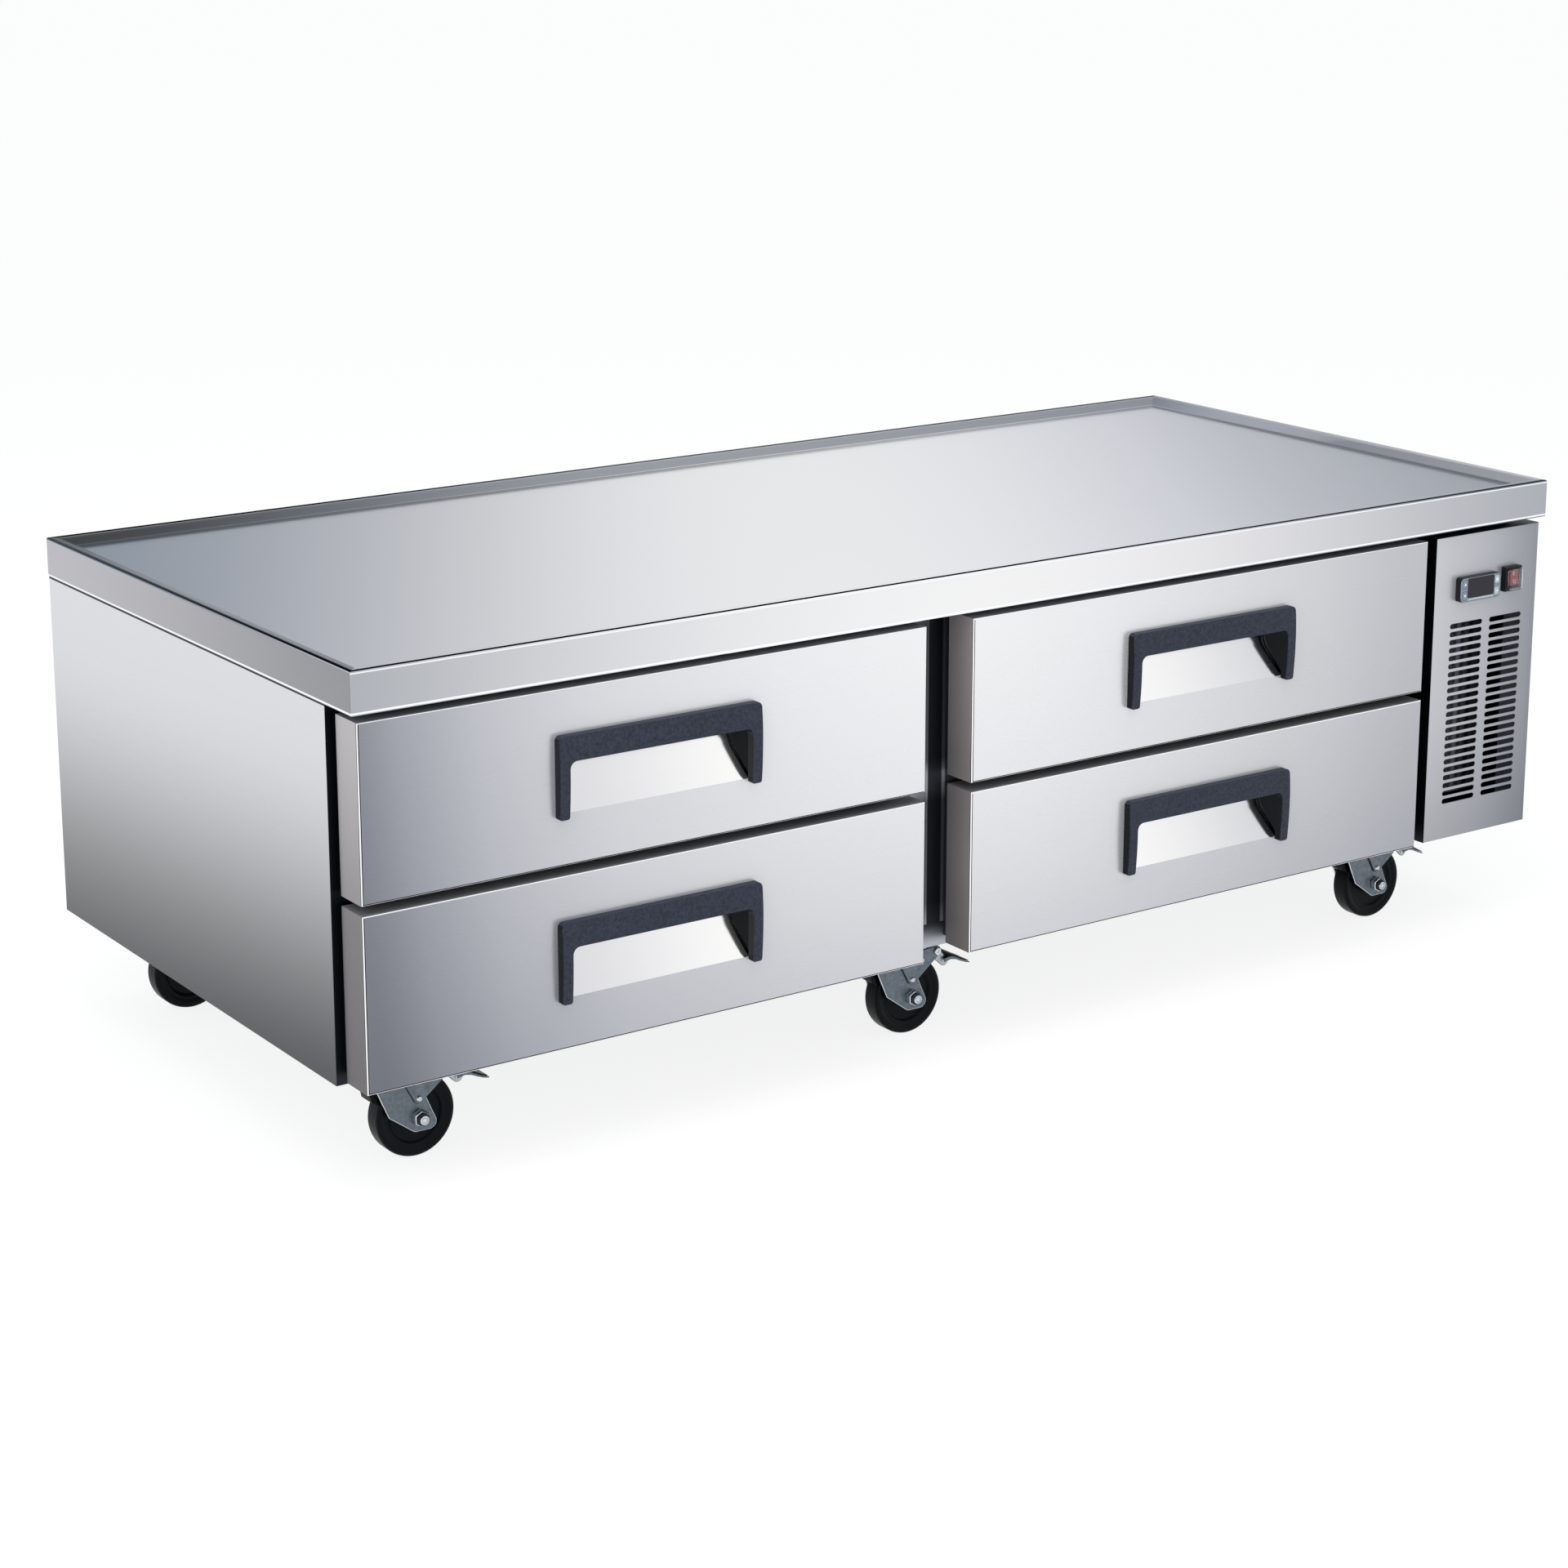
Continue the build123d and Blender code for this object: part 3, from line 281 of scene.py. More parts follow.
# Painted sheen on the turned-down edges: the front lightest in its middle, the ends lighter towards the back.
front_edge_sheen_steel = brushed_steel("stainless_front_edge_painted_sheen", [((1, 0, 0), [
    (-919, "A9ADB3"), (-700, "CDCED2"), (-420, "E9E9EB"), (-60, "F8F8F8"), (300, "E8E7EA"), (620, "C9CACE"),
    (919, "A8ACB3")])])
end_edge_sheen_steel = brushed_steel("stainless_end_edge_painted_sheen", [((0, 1, 0), [
    (-406, "8F9094"), (-200, "999A9F"), (100, "AFAEB3"), (416, "BAB9BE")])], along=(3, 400, 3))
# Painted reflections on the rim's back slope and on its lands: darkest at the left end and towards the back.
rim_reflection_steel = brushed_steel("stainless_rim_back_painted_reflection", [((1, 0, 0), [
    (-919, "1C1E23"), (-700, "34363F"), (-400, "737880"), (-100, "979CA2"), (500, "92969D"), (919, "868A93")])],
    roughness=0.2)
back_land_reflection_steel = brushed_steel("stainless_land_back_painted_reflection", [((1, 0, 0), [
    (-919, "20262E"), (-560, "5E636D"), (-240, "AAB5BF"), (60, "C4C9D3"), (919, "BCC0CA")])], roughness=0.2,
    tint=0.1)
left_land_reflection_steel = brushed_steel("stainless_land_left_painted_reflection", [((0, 1, 0), [
    (-406, "7A808B"), (-290, "8F94A2"), (60, "929AA9"), (260, "6E7889"), (416, "3A3F4C")])], roughness=0.2,
    along=(3, 400, 3), tint=0.6)
right_land_reflection_steel = brushed_steel("stainless_land_right_painted_reflection", [((0, 1, 0), [
    (-406, "CCD0DA"), (0, "9CA1AD"), (250, "A7ABB6"), (416, "6B7584")])], roughness=0.22,
    along=(3, 400, 3), tint=0.75)
# Painted sheen on the back edge, lighter in its middle.
back_edge_sheen_steel = brushed_steel("stainless_back_edge_painted_sheen", [((1, 0, 0), [
    (-919, "B4B7BB"), (0, "D9DADC"), (919, "B4B7BB")])])
pan_side, pan_front, pan_back, pan_low, pan_top, pan_flat = 919, -406, 416, 570, 621, 612
bpy.ops.mesh.primitive_cube_add(
    size=1, location=(0, (pan_front + pan_back) / 2000, (pan_low + pan_top) / 2000),
    scale=(pan_side / 500, (pan_back - pan_front) / 1000, (pan_top - pan_low) / 1000))
pan = bpy.context.object
bpy.ops.object.transform_apply(location=True, rotation=True, scale=True)
edit(pan)
pick_faces(pan, lambda normal, middle: normal.z > 0.9)
bpy.ops.mesh.inset(thickness=0.0055)                # the shade beside the fold
bpy.ops.mesh.inset(thickness=0.0075)                # the rim's level land
bpy.ops.mesh.inset(thickness=0.015, depth=(pan_flat - pan_top) / 1000)     # its slope down to the flat
pick_faces(pan, lambda normal, middle: normal.z < -0.9)
bpy.ops.mesh.inset(thickness=0.020)                 # the hem turned in under the edge
bpy.ops.mesh.inset(thickness=0.0, depth=-0.0015)
bpy.ops.object.mode_set(mode="OBJECT")
round_edges(pan, 2.0, lambda a, b: all(
    abs(abs(p.x) - pan_side) < 0.1 or abs(p.y - pan_front) < 0.1 or abs(p.y - pan_back) < 0.1 for p in (a, b)))
round_edges(pan, 2.4, lambda a, b: all(
    p.z > pan_top - 0.5 and abs(p.x) < pan_side - 10 and pan_front + 10 < p.y < pan_back - 10 for p in (a, b)))
round_edges(pan, 2.0, lambda a, b: all(abs(p.z - pan_flat) < 1 and abs(p.x) < 900 for p in (a, b)))
shine_low, shine_high = 574.2, 617.4        # the turned-down edge takes a painted highlight below the one and above the other
for level in (shine_low, shine_high):
    split(pan, (0, 0, 1), level)


def pan_finish(normal, middle):
    """The finish of a face of the worktop: of its edge, of its rim's land and slope, or of its flat."""
    in_front = middle.y < pan_front + 1
    if abs(normal.z) < 0.1:
        if middle.z < shine_low or (middle.z > shine_high and in_front):
            return fold_steel
        return front_edge_sheen_steel if in_front else end_edge_sheen_steel if abs(middle.x) > pan_side - 1 else back_edge_sheen_steel
    if middle.z > pan_flat + 0.5 and normal.z > 0.5:
        if abs(middle.x) > 885:
            return dark_fold_steel if middle.x < -913 else left_land_reflection_steel if middle.x < 0 else right_land_reflection_steel
        if middle.y > 380:
            return rim_reflection_steel if normal.z < 0.99 else back_land_reflection_steel
        if middle.y < -400:
            return dark_fold_steel
    return top_sheen_steel


pan_steels = [top_sheen_steel, fold_steel, front_edge_sheen_steel, end_edge_sheen_steel, rim_reflection_steel, left_land_reflection_steel, back_edge_sheen_steel,
              right_land_reflection_steel, back_land_reflection_steel, dark_fold_steel]
share_out(pan, pan_steels, pan_finish)
settle(pan, "worktop_pan", "cabinet", pan_steels, ["worktop"])


# Outer sheets: the two ends are flat stainless sheets with a turned return at the back, brushed lengthways, with
# a painted reflection of the floor's fall-off, darker towards the bottom. A dark strip of painted shadow lies along
# their top, under the worktop. The back sheet is plainer, with painted shade darker towards its foot and its ends.


def grained(name, code, grain, vary, roughness, metallic=0.0, dent=0.0, coat=0.0, specular=0.5):
    """A finish without a direction: its colour, roughness and height vary over grains of the given size in mm."""
    finish = blank(name)
    tree = finish.node_tree
    place = add(tree, "TexCoord").outputs["Object"]
    grains = add(tree, "TexNoise", {"Vector": place, "Scale": 1000 / grain, "Detail": 4.0}).outputs["Fac"]
    light = spread(tree, grains, 1, vary, 0.2)
    tone = add(tree, "VectorMath", {0: linear(code)[:3], "Scale": light}, operation="SCALE").outputs["Vector"]
    dull = spread(tree, grains, roughness, 0.12, 0.2)
    bumps = add(tree, "Bump", {"Height": grains, "Strength": 0.5, "Distance": dent / 1000}).outputs["Normal"]
    face = add(tree, "BsdfPrincipled", {"Base Color": tone, "Metallic": metallic, "Roughness": dull,
                                        "Normal": bumps, "Coat Weight": coat, "Specular IOR Level": specular})
    add(tree, "OutputMaterial", {"Surface": face.outputs[0]})
    return finish


def dress(node, finish):
    """Give a CAD node its finish."""
    holder = frame["nodes"][node]
    if not holder.material_slots:
        holder.data.materials.append(finish)
    for held in holder.material_slots:
        held.material = finish


def copy_node(node):
    """A separate copy of a CAD node, with its loose triangles merged into flat faces."""
    piece = bpy.data.objects.new(node + "_copy", frame["nodes"][node].data.copy())
    bpy.context.scene.collection.objects.link(piece)
    piece.data.materials.clear()
    edit(piece)
    bpy.ops.mesh.select_all(action="SELECT")
    bpy.ops.mesh.customdata_custom_splitnormals_clear()
    bpy.ops.mesh.remove_doubles(threshold=0.00001)
    bpy.ops.mesh.dissolve_limited(angle_limit=radians(0.5))
    bpy.ops.object.mode_set(mode="OBJECT")
    return piece


# Painted reflection of the floor on the end sheets: darker towards the bottom.
end_reflection_steel = brushed_steel("stainless_end_painted_reflection", [((0, 0.055, 1), [
    (95, "34373B"), (180, "5C5F62"), (280, "8F9193"), (380, "BBBDC0"), (480, "D8D9DC"), (597, "DBDCDE")])],
    along=(3, 400, 3))
# Painted shadow: a dark strip along the sheets' top and on the grille cover's top, in the gap under the worktop.
painted_gap_shade = grained("painted_shadow_gap_dark", "1C1E22", 3, 0.1, 0.5, specular=0.3)
painted_gap_low = 568.4        # the painted shadow strip's lower edge
for node in ("left_side_panel", "right_side_panel"):
    sheet = copy_node(node)
    split(sheet, (0, 0, 1), painted_gap_low)
    round_edges(sheet, 0.4, lambda a, b: abs(a.y - b.y) < 1 and a.y < -340 and abs(a.x - b.x) < 0.1)
    share_out(sheet, [end_reflection_steel, painted_gap_shade], lambda normal, middle: painted_gap_shade if middle.z > painted_gap_low else end_reflection_steel)
    settle(sheet, node.replace("_panel", "_sheet"), "cabinet", [end_reflection_steel, painted_gap_shade], [node])
# Painted shade on the back sheet: darker towards its foot and towards both ends.
back_shade_steel = brushed_steel("stainless_back_painted_shade", [
    ((0, 0, 1), [(127, "6A6D71"), (300, "9DA0A4"), (450, "B9BBBF"), (570, "C6C8CB")]),
    ((1, 0, 0), [(-919, "E6E6E6"), (0, "FFFFFF"), (919, "E2E2E2")])], roughness=0.34)
dress("back_panel", back_shade_steel)

# Base sheet: hot-dip galvanised steel, folded up as the wall beside the machine bay. The spangle of the zinc is
# about 12 mm across.
galvanised = grained("galvanised_sheet", "8E9497", 12, 0.16, 0.42, metallic=0.85, dent=0.02)
dress("bottom_panel", galvanised)
dress("cabinet_slides", galvanised)

# Chamber: an aluminium liner with a stucco-like mill finish, foamed in place behind the front frame.
liner_aluminium = grained("aluminium_liner", "C9CCCE", 5, 0.05, 0.38, metallic=1.0, dent=0.06)
dress("inner_liner", liner_aluminium)
foam = grained("polyurethane_foam", "D9C48C", 2, 0.08, 0.85, dent=0.3)
dress("insulation", foam)

# Front frame: stainless channels with a satin finish, which the drawers' gaskets close on. The post between the
# stacks carries painted light and shade: a painted highlight stripe along its left part beside a painted dark band,
# painted bright bands across it, painted shade from the right drawers, and painted light and dark lines at its foot.
# The stiles beside it carry painted shade.
post_painted_steel = brushed_steel("stainless_post_painted_light", [
    ((1, 0, 0), [(-172, "B4B7BD"), (-94, "B4B7BD"), (-92.5, "DADCE2"), (-91, "34383F"), (-71, "34383F"),
                 (-69, "A8ACB4"), (-66, "A8ACB4"), (-64, "4A4D54")]),
    ((0, 0, 1), [(127, "FFFFFF"), (162, "F4F4F6"), (185, "9A9CA2"), (318, "8E9096"), (336, "FFFFFF"),
                 (352, "FFFFFF"), (372, "8A8C92"), (570, "72747A")])], roughness=0.4,
    along=(3, 3, 300), metallic=0.6, blend="LINEAR")
stile_steel = brushed_steel("stainless_stile_shaded", [((0, 0, 1), [(127, "30343A"), (570, "22262B")])], 0.45,
                            along=(3, 3, 300), tint=0.4)
post_foot_painted_steel = brushed_steel("stainless_post_foot_painted_light", [((0, 0, 1), [
    (130, "C4C8CE"), (148, "5E626A"), (158, "2A2D33")])], roughness=0.4, along=(3, 3, 300), metallic=0.6)
post_steels = [post_painted_steel, stile_steel, post_foot_painted_steel]
post_mid, post_half, post_foot = -106, 70, 158
posts = copy_node("face_frame")
split(posts, (0, 0, 1), post_foot)
share_out(posts, post_steels, lambda normal, middle: stile_steel if abs(middle.x - post_mid) > post_half else (
    post_foot_painted_steel if middle.z < post_foot else post_painted_steel))
settle(posts, "front_frame", "cabinet", post_steels, ["face_frame"])

# Drawer fronts: stainless skins folded over foam. The fold round the face carries a painted highlight between two
# painted dark lines, where the sheet begins to turn, and the hand recess pressed in under the handle is painted
# bright. The faces carry a painted sheen, darker towards both ends and towards the foot, the returns painted light
# and shade, and the tops of the gaps painted shade.
front_sheen_steel = brushed_steel("stainless_drawer_painted_sheen", [
    ((1, 0, 0.12), [(-870, "7A7D86"), (-800, "9DA0A8"), (-700, "BCBEC4"), (-545, "D8D9DD"), (-300, "EBEBED"),
                    (0, "F7F7F8"), (295, "E9E9EB"), (575, "D3D4D8"), (753, "BFC1C6")]),
    ((0, 0, 1), [(133, "D6D7DB"), (230, "E4E4E6"), (350, "EEEEEF"), (562, "FBFBFB")])], metallic=0.5)
left_return_shade_steel = brushed_steel("stainless_return_painted_shade", [
    ((1, 0, 0), [(-911, "B9B6B8"), (-142, "C2C0C2")]),
    ((0, 0, 1), [(133, "858486"), (342, "AAA9AB"), (353, "BFBEC0"), (473, "EDECED"), (562, "FFFFFF")])],
    along=(3, 3, 300))
right_return_steel = brushed_steel("stainless_return_shaded", [
    ((0, 1, 0), [(-403, "CAC2C1"), (-354, "B7B4B8")]),
    ((0, 0, 1), [(133, "A09E9C"), (190, "CAC8C6"), (250, "E2E0DE"), (342, "CCCAC9"), (353, "C8C6C5"),
                 (410, "DEDCDB"), (562, "F8F6F5")])], roughness=0.5, along=(3, 3, 300), metallic=0.35)
recess_highlight_steel = brushed_steel("stainless_recess_painted_highlight", [
    ((1, 0, 0), [(-656, "D8D8DC"), (-526, "ECECEE"), (-400, "FFFFFD"), (190, "FCFBFB"), (313, "EAEAEC"),
                 (443, "CFD0D4")])], roughness=0.12)
gap_steel = brushed_steel("stainless_gap_shaded", [((1, 0, 0), [(-911, "8A8B8F"), (753, "8A8B8F")])], 0.5,
                          metallic=0.3)
drawers = ("upper_left", "lower_left", "upper_right", "lower_right")
pull_drop, pull_high, knee_high = 53, 98, 44    # pull below the front's top, its height, knee above its foot
turn_y, turn_wide = -400.7, 1.1                 # where the sheet begins to turn, and how much of its face does
knee_y, edge_y = -383, -373                     # the recess at its knee and at its hidden deep edge
drawn_knee_y, drawn_edge_y = -382, -361         # and where CAD has them


def skin_finish(normal, middle, low, side_steel):
    """The finish of a face of a drawer's skin. The skin's lower left corner is at low."""
    # Painted dark lines along the front's left and bottom edges and on the left return's front strip; the fold takes
    # the painted highlight, and the tops of the gaps painted shade.
    if normal.y < -0.98:
        return dark_fold_steel if middle.x < low.x + 2.5 or middle.z < low.z + 2.5 else front_sheen_steel
    if normal.y < -0.8 and -402 < middle.y < -370:
        return recess_highlight_steel
    if 0.6 < abs(normal.y) < 0.8:
        return fold_steel
    if normal.z > 0.9:
        return gap_steel
    return dark_fold_steel if middle.y < turn_y and middle.x < low.x + 0.1 else side_steel


for drawer in drawers:
    skin = copy_node(f"{drawer}_drawer_front")
    low, high = [corner * 1000 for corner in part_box(f"{drawer}_drawer_front")]
    knee = high.z - pull_drop - pull_high + knee_high
    split(skin, (0, 0, 1), knee)
    for corner in skin.data.vertices:               # the recess steepens towards its hidden deep edge
        place = corner.co * 1000
        if abs(place.y - drawn_edge_y) < 0.6:
            corner.co.y = edge_y / 1000
        elif abs(place.z - knee) < 0.1 and abs(place.y - drawn_knee_y) < 6:
            corner.co.y = knee_y / 1000
    edit(skin)
    pick_faces(skin, lambda normal, middle: normal.y < -0.98 and middle.y < -402)
    bpy.ops.mesh.inset(thickness=turn_wide / 1000)
    bpy.ops.object.mode_set(mode="OBJECT")
    split(skin, (0, 1, 0), turn_y)
    side_steel = left_return_shade_steel if drawer.endswith("left") else right_return_steel
    skin_steels = [front_sheen_steel, fold_steel, side_steel, recess_highlight_steel, dark_fold_steel, gap_steel]
    share_out(skin, skin_steels, lambda normal, middle: skin_finish(normal, middle, low, side_steel))
    settle(skin, f"{drawer}_skin", f"{drawer}_drawer", skin_steels, [f"{drawer}_drawer_front"])

# Gaskets, pan frames and slide members: black magnetic vinyl bellows, stainless frames that hang food pans, and
# zinc-plated telescopic slides.
vinyl = grained("vinyl_gasket_black", "24282C", 3, 0.12, 0.55, dent=0.05)
frame_steel = brushed_steel("stainless_frame_plain", [((0, 1, 0), [(-354, "B8BABD"), (236, "C9CBCE")])], 0.33)
slide_zinc = grained("zinc_plated_slide", "A9B0B4", 6, 0.08, 0.32, metallic=1.0, dent=0.01)
for drawer in drawers:
    dress(f"{drawer}_gasket", vinyl)
    dress(f"{drawer}_drawer_frame", frame_steel)
    dress(f"{drawer}_middle_slides", slide_zinc)


# Handles: pulls moulded in black glass-filled nylon. The bowed arch has a spark-eroded grain, drawn coarser than the
# real one so that it shows, and its sides, cheeks and ceiling are smooth and carry a painted shade, darker than the
# arch's face. They snap into the recess.


def plate(outline, near, far, across="Y"):
    """A plate of one thickness: a ring's points are moved one by one to the outline, filled, and pulled from near to
    far along one axis. The outline is in X and Z, or in Y and Z for a plate across X."""
    bpy.ops.object.select_all(action="DESELECT")
    bpy.ops.mesh.primitive_circle_add(vertices=len(outline), radius=0.01, fill_type="NGON")
    piece = bpy.context.object
    for corner, (along, high) in zip(piece.data.vertices, outline):
        corner.co = Vector((along, near, high) if across == "Y" else (near, along, high)) / 1000
    thick = (far - near) / 1000
    edit(piece)
    bpy.ops.mesh.select_all(action="SELECT")
    bpy.ops.mesh.extrude_region_move(
        TRANSFORM_OT_translate={"value": (0, thick, 0) if across == "Y" else (thick, 0, 0)})
    bpy.ops.mesh.select_all(action="SELECT")
    bpy.ops.mesh.normals_make_consistent(inside=False)
    bpy.ops.object.mode_set(mode="OBJECT")
    return piece


def arc(x, z, radius, start, end, steps=8):
    """Points along an arc, in X and Z, from one angle in degrees to another."""
    turns = [radians(start + (end - start) * step / steps) for step in range(steps + 1)]
    return [(x + radius * cos(turn), z + radius * sin(turn)) for turn in turns]


def together(pieces):
    """Join pieces that are fixed to each other into one. Each face keeps its finish."""
    hold(*pieces)
    bpy.ops.object.join()
    return pieces[0]


def put(piece, step):
    """A copy of a piece with its own mesh, moved in its mesh by a step in mm."""
    hold(piece)
    bpy.ops.object.duplicate(linked=False)
    bpy.ops.transform.translate(value=Vector(step) / 1000)
    bpy.ops.object.transform_apply(location=True, rotation=True, scale=True)
    return bpy.context.object


def coat(pieces, *finishes):
    """Give pieces their finishes before they are joined to others."""
    for piece in pieces:
        for finish in finishes:
            piece.data.materials.append(finish)
    return pieces


nylon = grained("nylon_black_grained", "2B303D", 3.5, 0.4, 0.5, dent=0.06, specular=0.22)
# Painted shade: the smooth finish is much darker than the grained one.
smooth_shaded_nylon = grained("nylon_black_smooth_painted_shade", "0B0E13", 6, 0.15, 0.3, specular=0.14)
pull_half, pull_bar, pull_leg = 137.5, 30, 13.3
pull_out, pull_top_out, pull_foot_out, pull_belly = 13, 10.4, 10, 40
low, high = [corner * 1000 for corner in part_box("upper_left_drawer_front")]
face_y, pull_mid, pull_top = low.y, (low.x + high.x) / 2, high.z - pull_drop
pull_foot = pull_top - pull_high
inner = pull_half - pull_leg
top_round, foot_round, window_round = 6, 3, 9
top_z, foot_z, window_z = pull_top - top_round, pull_foot + foot_round, pull_top - pull_bar - window_round
arch = (arc(pull_half - top_round, top_z, top_round, 0, 90, 6)
        + arc(top_round - pull_half, top_z, top_round, 90, 180, 6)
        + arc(foot_round - pull_half, foot_z, foot_round, 180, 270, 4)
        + arc(-inner - foot_round, foot_z, foot_round, 270, 360, 4)
        + arc(window_round - inner, window_z, window_round, 180, 90, 6)
        + arc(inner - window_round, window_z, window_round, 90, 0, 6)
        + arc(inner + foot_round, foot_z, foot_round, 180, 270, 4)
        + arc(pull_half - foot_round, foot_z, foot_round, 270, 360, 4))
first_pull = plate([(pull_mid + along, up) for along, up in arch], face_y - pull_out, face_y)
coat([first_pull], nylon, smooth_shaded_nylon)
share_out(first_pull, [nylon, smooth_shaded_nylon], lambda normal, middle: (
    nylon if normal.y < -0.9 or normal.z > 0.6 else smooth_shaded_nylon))
round_edges(first_pull, 1.2, lambda a, b: a.y < face_y - 12 and b.y < face_y - 12, segments=3)
for level in range(8, pull_high, 8):
    split(first_pull, (0, 0, 1), pull_foot + level)
for corner in first_pull.data.vertices:
    below = pull_top - corner.co.z * 1000
    reach, least = (pull_belly, pull_top_out) if below < pull_belly else (pull_high - pull_belly, pull_foot_out)
    fall = abs(pull_belly - below) / reach
    bow = (pull_out - (pull_out - least) * fall ** 2) / pull_out
    corner.co.y = (face_y + (corner.co.y * 1000 - face_y) * bow) / 1000
deep, ceiling, recess_half = face_y + 41.7, pull_top - 8.1, 130
cheek_side = [(face_y, pull_foot + 6), (face_y, ceiling), (deep, ceiling), (deep, ceiling - 5)]
rib_y = face_y + 17
rib_side = [(face_y, pull_foot + 6), (face_y, ceiling), (rib_y, ceiling), (rib_y, pull_top - pull_bar - 4)]
shell_parts = [plate([(pull_mid - recess_half, ceiling - 2), (pull_mid + recess_half, ceiling - 2),
                      (pull_mid + recess_half, ceiling), (pull_mid - recess_half, ceiling)], face_y, deep)]
for side, inward in ((-recess_half, 1), (recess_half, -1)):
    edge_x = pull_mid + side
    for outline, thick in ((cheek_side, 2), (rib_side, 3.4)):
        cheek = plate(outline, edge_x, edge_x + inward * thick, "X")
        for corner in cheek.data.vertices:          # the cheeks lean inward with depth
            if abs(corner.co.x * 1000 - edge_x) > 1:
                corner.co.x += inward * 0.6 * (corner.co.y - face_y / 1000)
        shell_parts.append(cheek)
first_pull = together([first_pull] + coat(shell_parts, smooth_shaded_nylon))
for drawer in drawers:
    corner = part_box(f"{drawer}_drawer_front")[0] * 1000
    pull = put(first_pull, (corner.x - low.x, 0, corner.z - low.z))
    settle(pull, f"{drawer}_pull", f"{drawer}_drawer", [], [f"{drawer}_handle"])
bpy.data.objects.remove(first_pull)


# Caster wheels: hard black rubber bonded to a core, 4 inches across, with a flat tread, a raised ring on each
# sidewall and a sunk web round the hub. The first is made at the front left, and the others are copies.


def ring_up(place, profile, sides=64, axis="Y"):
    """A round piece drawn up ring by ring: profile is its radius and place along the axis, in mm, at each ring.
    The two open ends are closed, or joined where the profile returns to its start."""
    tilt = {"X": (0, radians(90), 0), "Y": (radians(90), 0, 0), "Z": (0, 0, 0)}[axis]
    unit = Vector([float(letter == axis) for letter in "XYZ"])
    radius, reach = profile[0]
    at = Vector(place) + unit * reach
    bpy.ops.object.select_all(action="DESELECT")
    bpy.ops.mesh.primitive_circle_add(vertices=sides, radius=radius / 1000, location=at / 1000, rotation=tilt)
    piece = bpy.context.object
    bpy.ops.object.transform_apply(location=True, rotation=True, scale=True)
    edit(piece)
    bpy.ops.mesh.select_all(action="SELECT")
    for wider, further in profile[1:]:
        step = unit * (further - reach)
        bpy.ops.mesh.extrude_region_move(TRANSFORM_OT_translate={"value": step / 1000})
        at = Vector(place) + unit * further
        bpy.ops.transform.resize(value=[wider / radius] * 3, center_override=at / 1000)
        radius, reach = wider, further
    bpy.ops.mesh.select_all(action="SELECT")
    bpy.ops.mesh.remove_doubles(threshold=0.000001)
    bpy.ops.mesh.select_all(action="DESELECT")
    bpy.ops.mesh.select_mode(type="EDGE")
    bpy.ops.mesh.select_non_manifold()
    if any(edge.select for edge in bmesh.from_edit_mesh(piece.data).edges):
        bpy.ops.mesh.edge_face_add()
    bpy.ops.mesh.select_all(action="SELECT")
    bpy.ops.mesh.normals_make_consistent(inside=False)
    bpy.ops.object.mode_set(mode="OBJECT")
    return piece


swivels = {"left": -829, "middle": -120, "right": 691}
rows = {"front": -286, "rear": 318}
x, y = swivels["left"], rows["front"]
axle = (x + 33, y, 50.8)        # the wheel trails its swivel by 33 mm
half = [(6.4, 14.4), (13, 14.4), (14.5, 13.4), (15.5, 8.5), (31, 7.5), (33, 8.2), (34.5, 10.5), (36.5, 11.6),
        (38.5, 11.2), (40, 11.2), (41.5, 12.6), (46, 13.4), (48.6, 12.9), (50.1, 11.4), (50.7, 9)]
wheel_ring = [(radius, -reach) for radius, reach in half] + [(radius, reach) for radius, reach in reversed(half)]
first_wheel = ring_up(axle, wheel_ring + [wheel_ring[0]], sides=96)
rubber = grained("rubber_tread_black", "060B0F", 2.5, 0.3, 0.36, dent=0.03, specular=0.09)


# Forks: pressed and zinc-plated steel, with legs that reach back to the axle, a hex bolt and its nut. The front ones
# carry riveted link plates, the pin of the brake and a rubber stop at the heel. The legs' rounded edges and the nut's
# left faces carry a painted highlight, and the nut's underside, its collar and the link plates' edges painted shade.


def caster_plate(outline, near, far):
    """A plate of the first caster. Its outline is along from the swivel and up from the floor, and near and far are
    across from its middle."""
    return plate([(x + along, high) for along, high in outline], y + near, y + far)


def rivets(places, profile):
    """Round heads on both sides of the first caster, at places along from the swivel and up from the floor."""
    return [ring_up((x + along, y, high), [(radius, side * reach) for radius, reach in profile], sides=20)
            for along, high in places for side in (-1, 1)]


def side_edge(a, b):
    """Whether an edge runs round one side of a caster's plate, and not through its thickness."""
    return abs(a.y - b.y) < 1 and abs(a.y - y) > 4


zinc = grained("zinc_plated_press", "666F77", 6, 0.22, 0.32, metallic=0.95, dent=0.03)
# The shaded zinc is painted shade. The bright zinc is the bolts' and rivets' own bright plating, and also a painted
# highlight on the legs' edges and the nut's left faces.
dark_zinc = grained("zinc_plated_shaded", "2E363D", 6, 0.2, 0.35, metallic=0.95, dent=0.02)
bright_highlight_zinc = grained("zinc_bright_bolt_and_painted_highlight", "CCD2D7", 3, 0.05, 0.16, metallic=1.0, dent=0.01)
leg = [(-30, 113.5), (-6, 57.5)] + arc(30, 42, 9, 232, 262, 3) + arc(47, 42, 9, 272, 372, 7) + [(42, 76), (36, 113.5)]
fork_parts = [caster_plate(leg, -20, -17), caster_plate(leg, 17, 20)]
fork_parts.append(caster_plate([(-30, 110.5), (36, 110.5), (36, 113.5), (-30, 113.5)], -18, 18))
coat(fork_parts, zinc, bright_highlight_zinc)
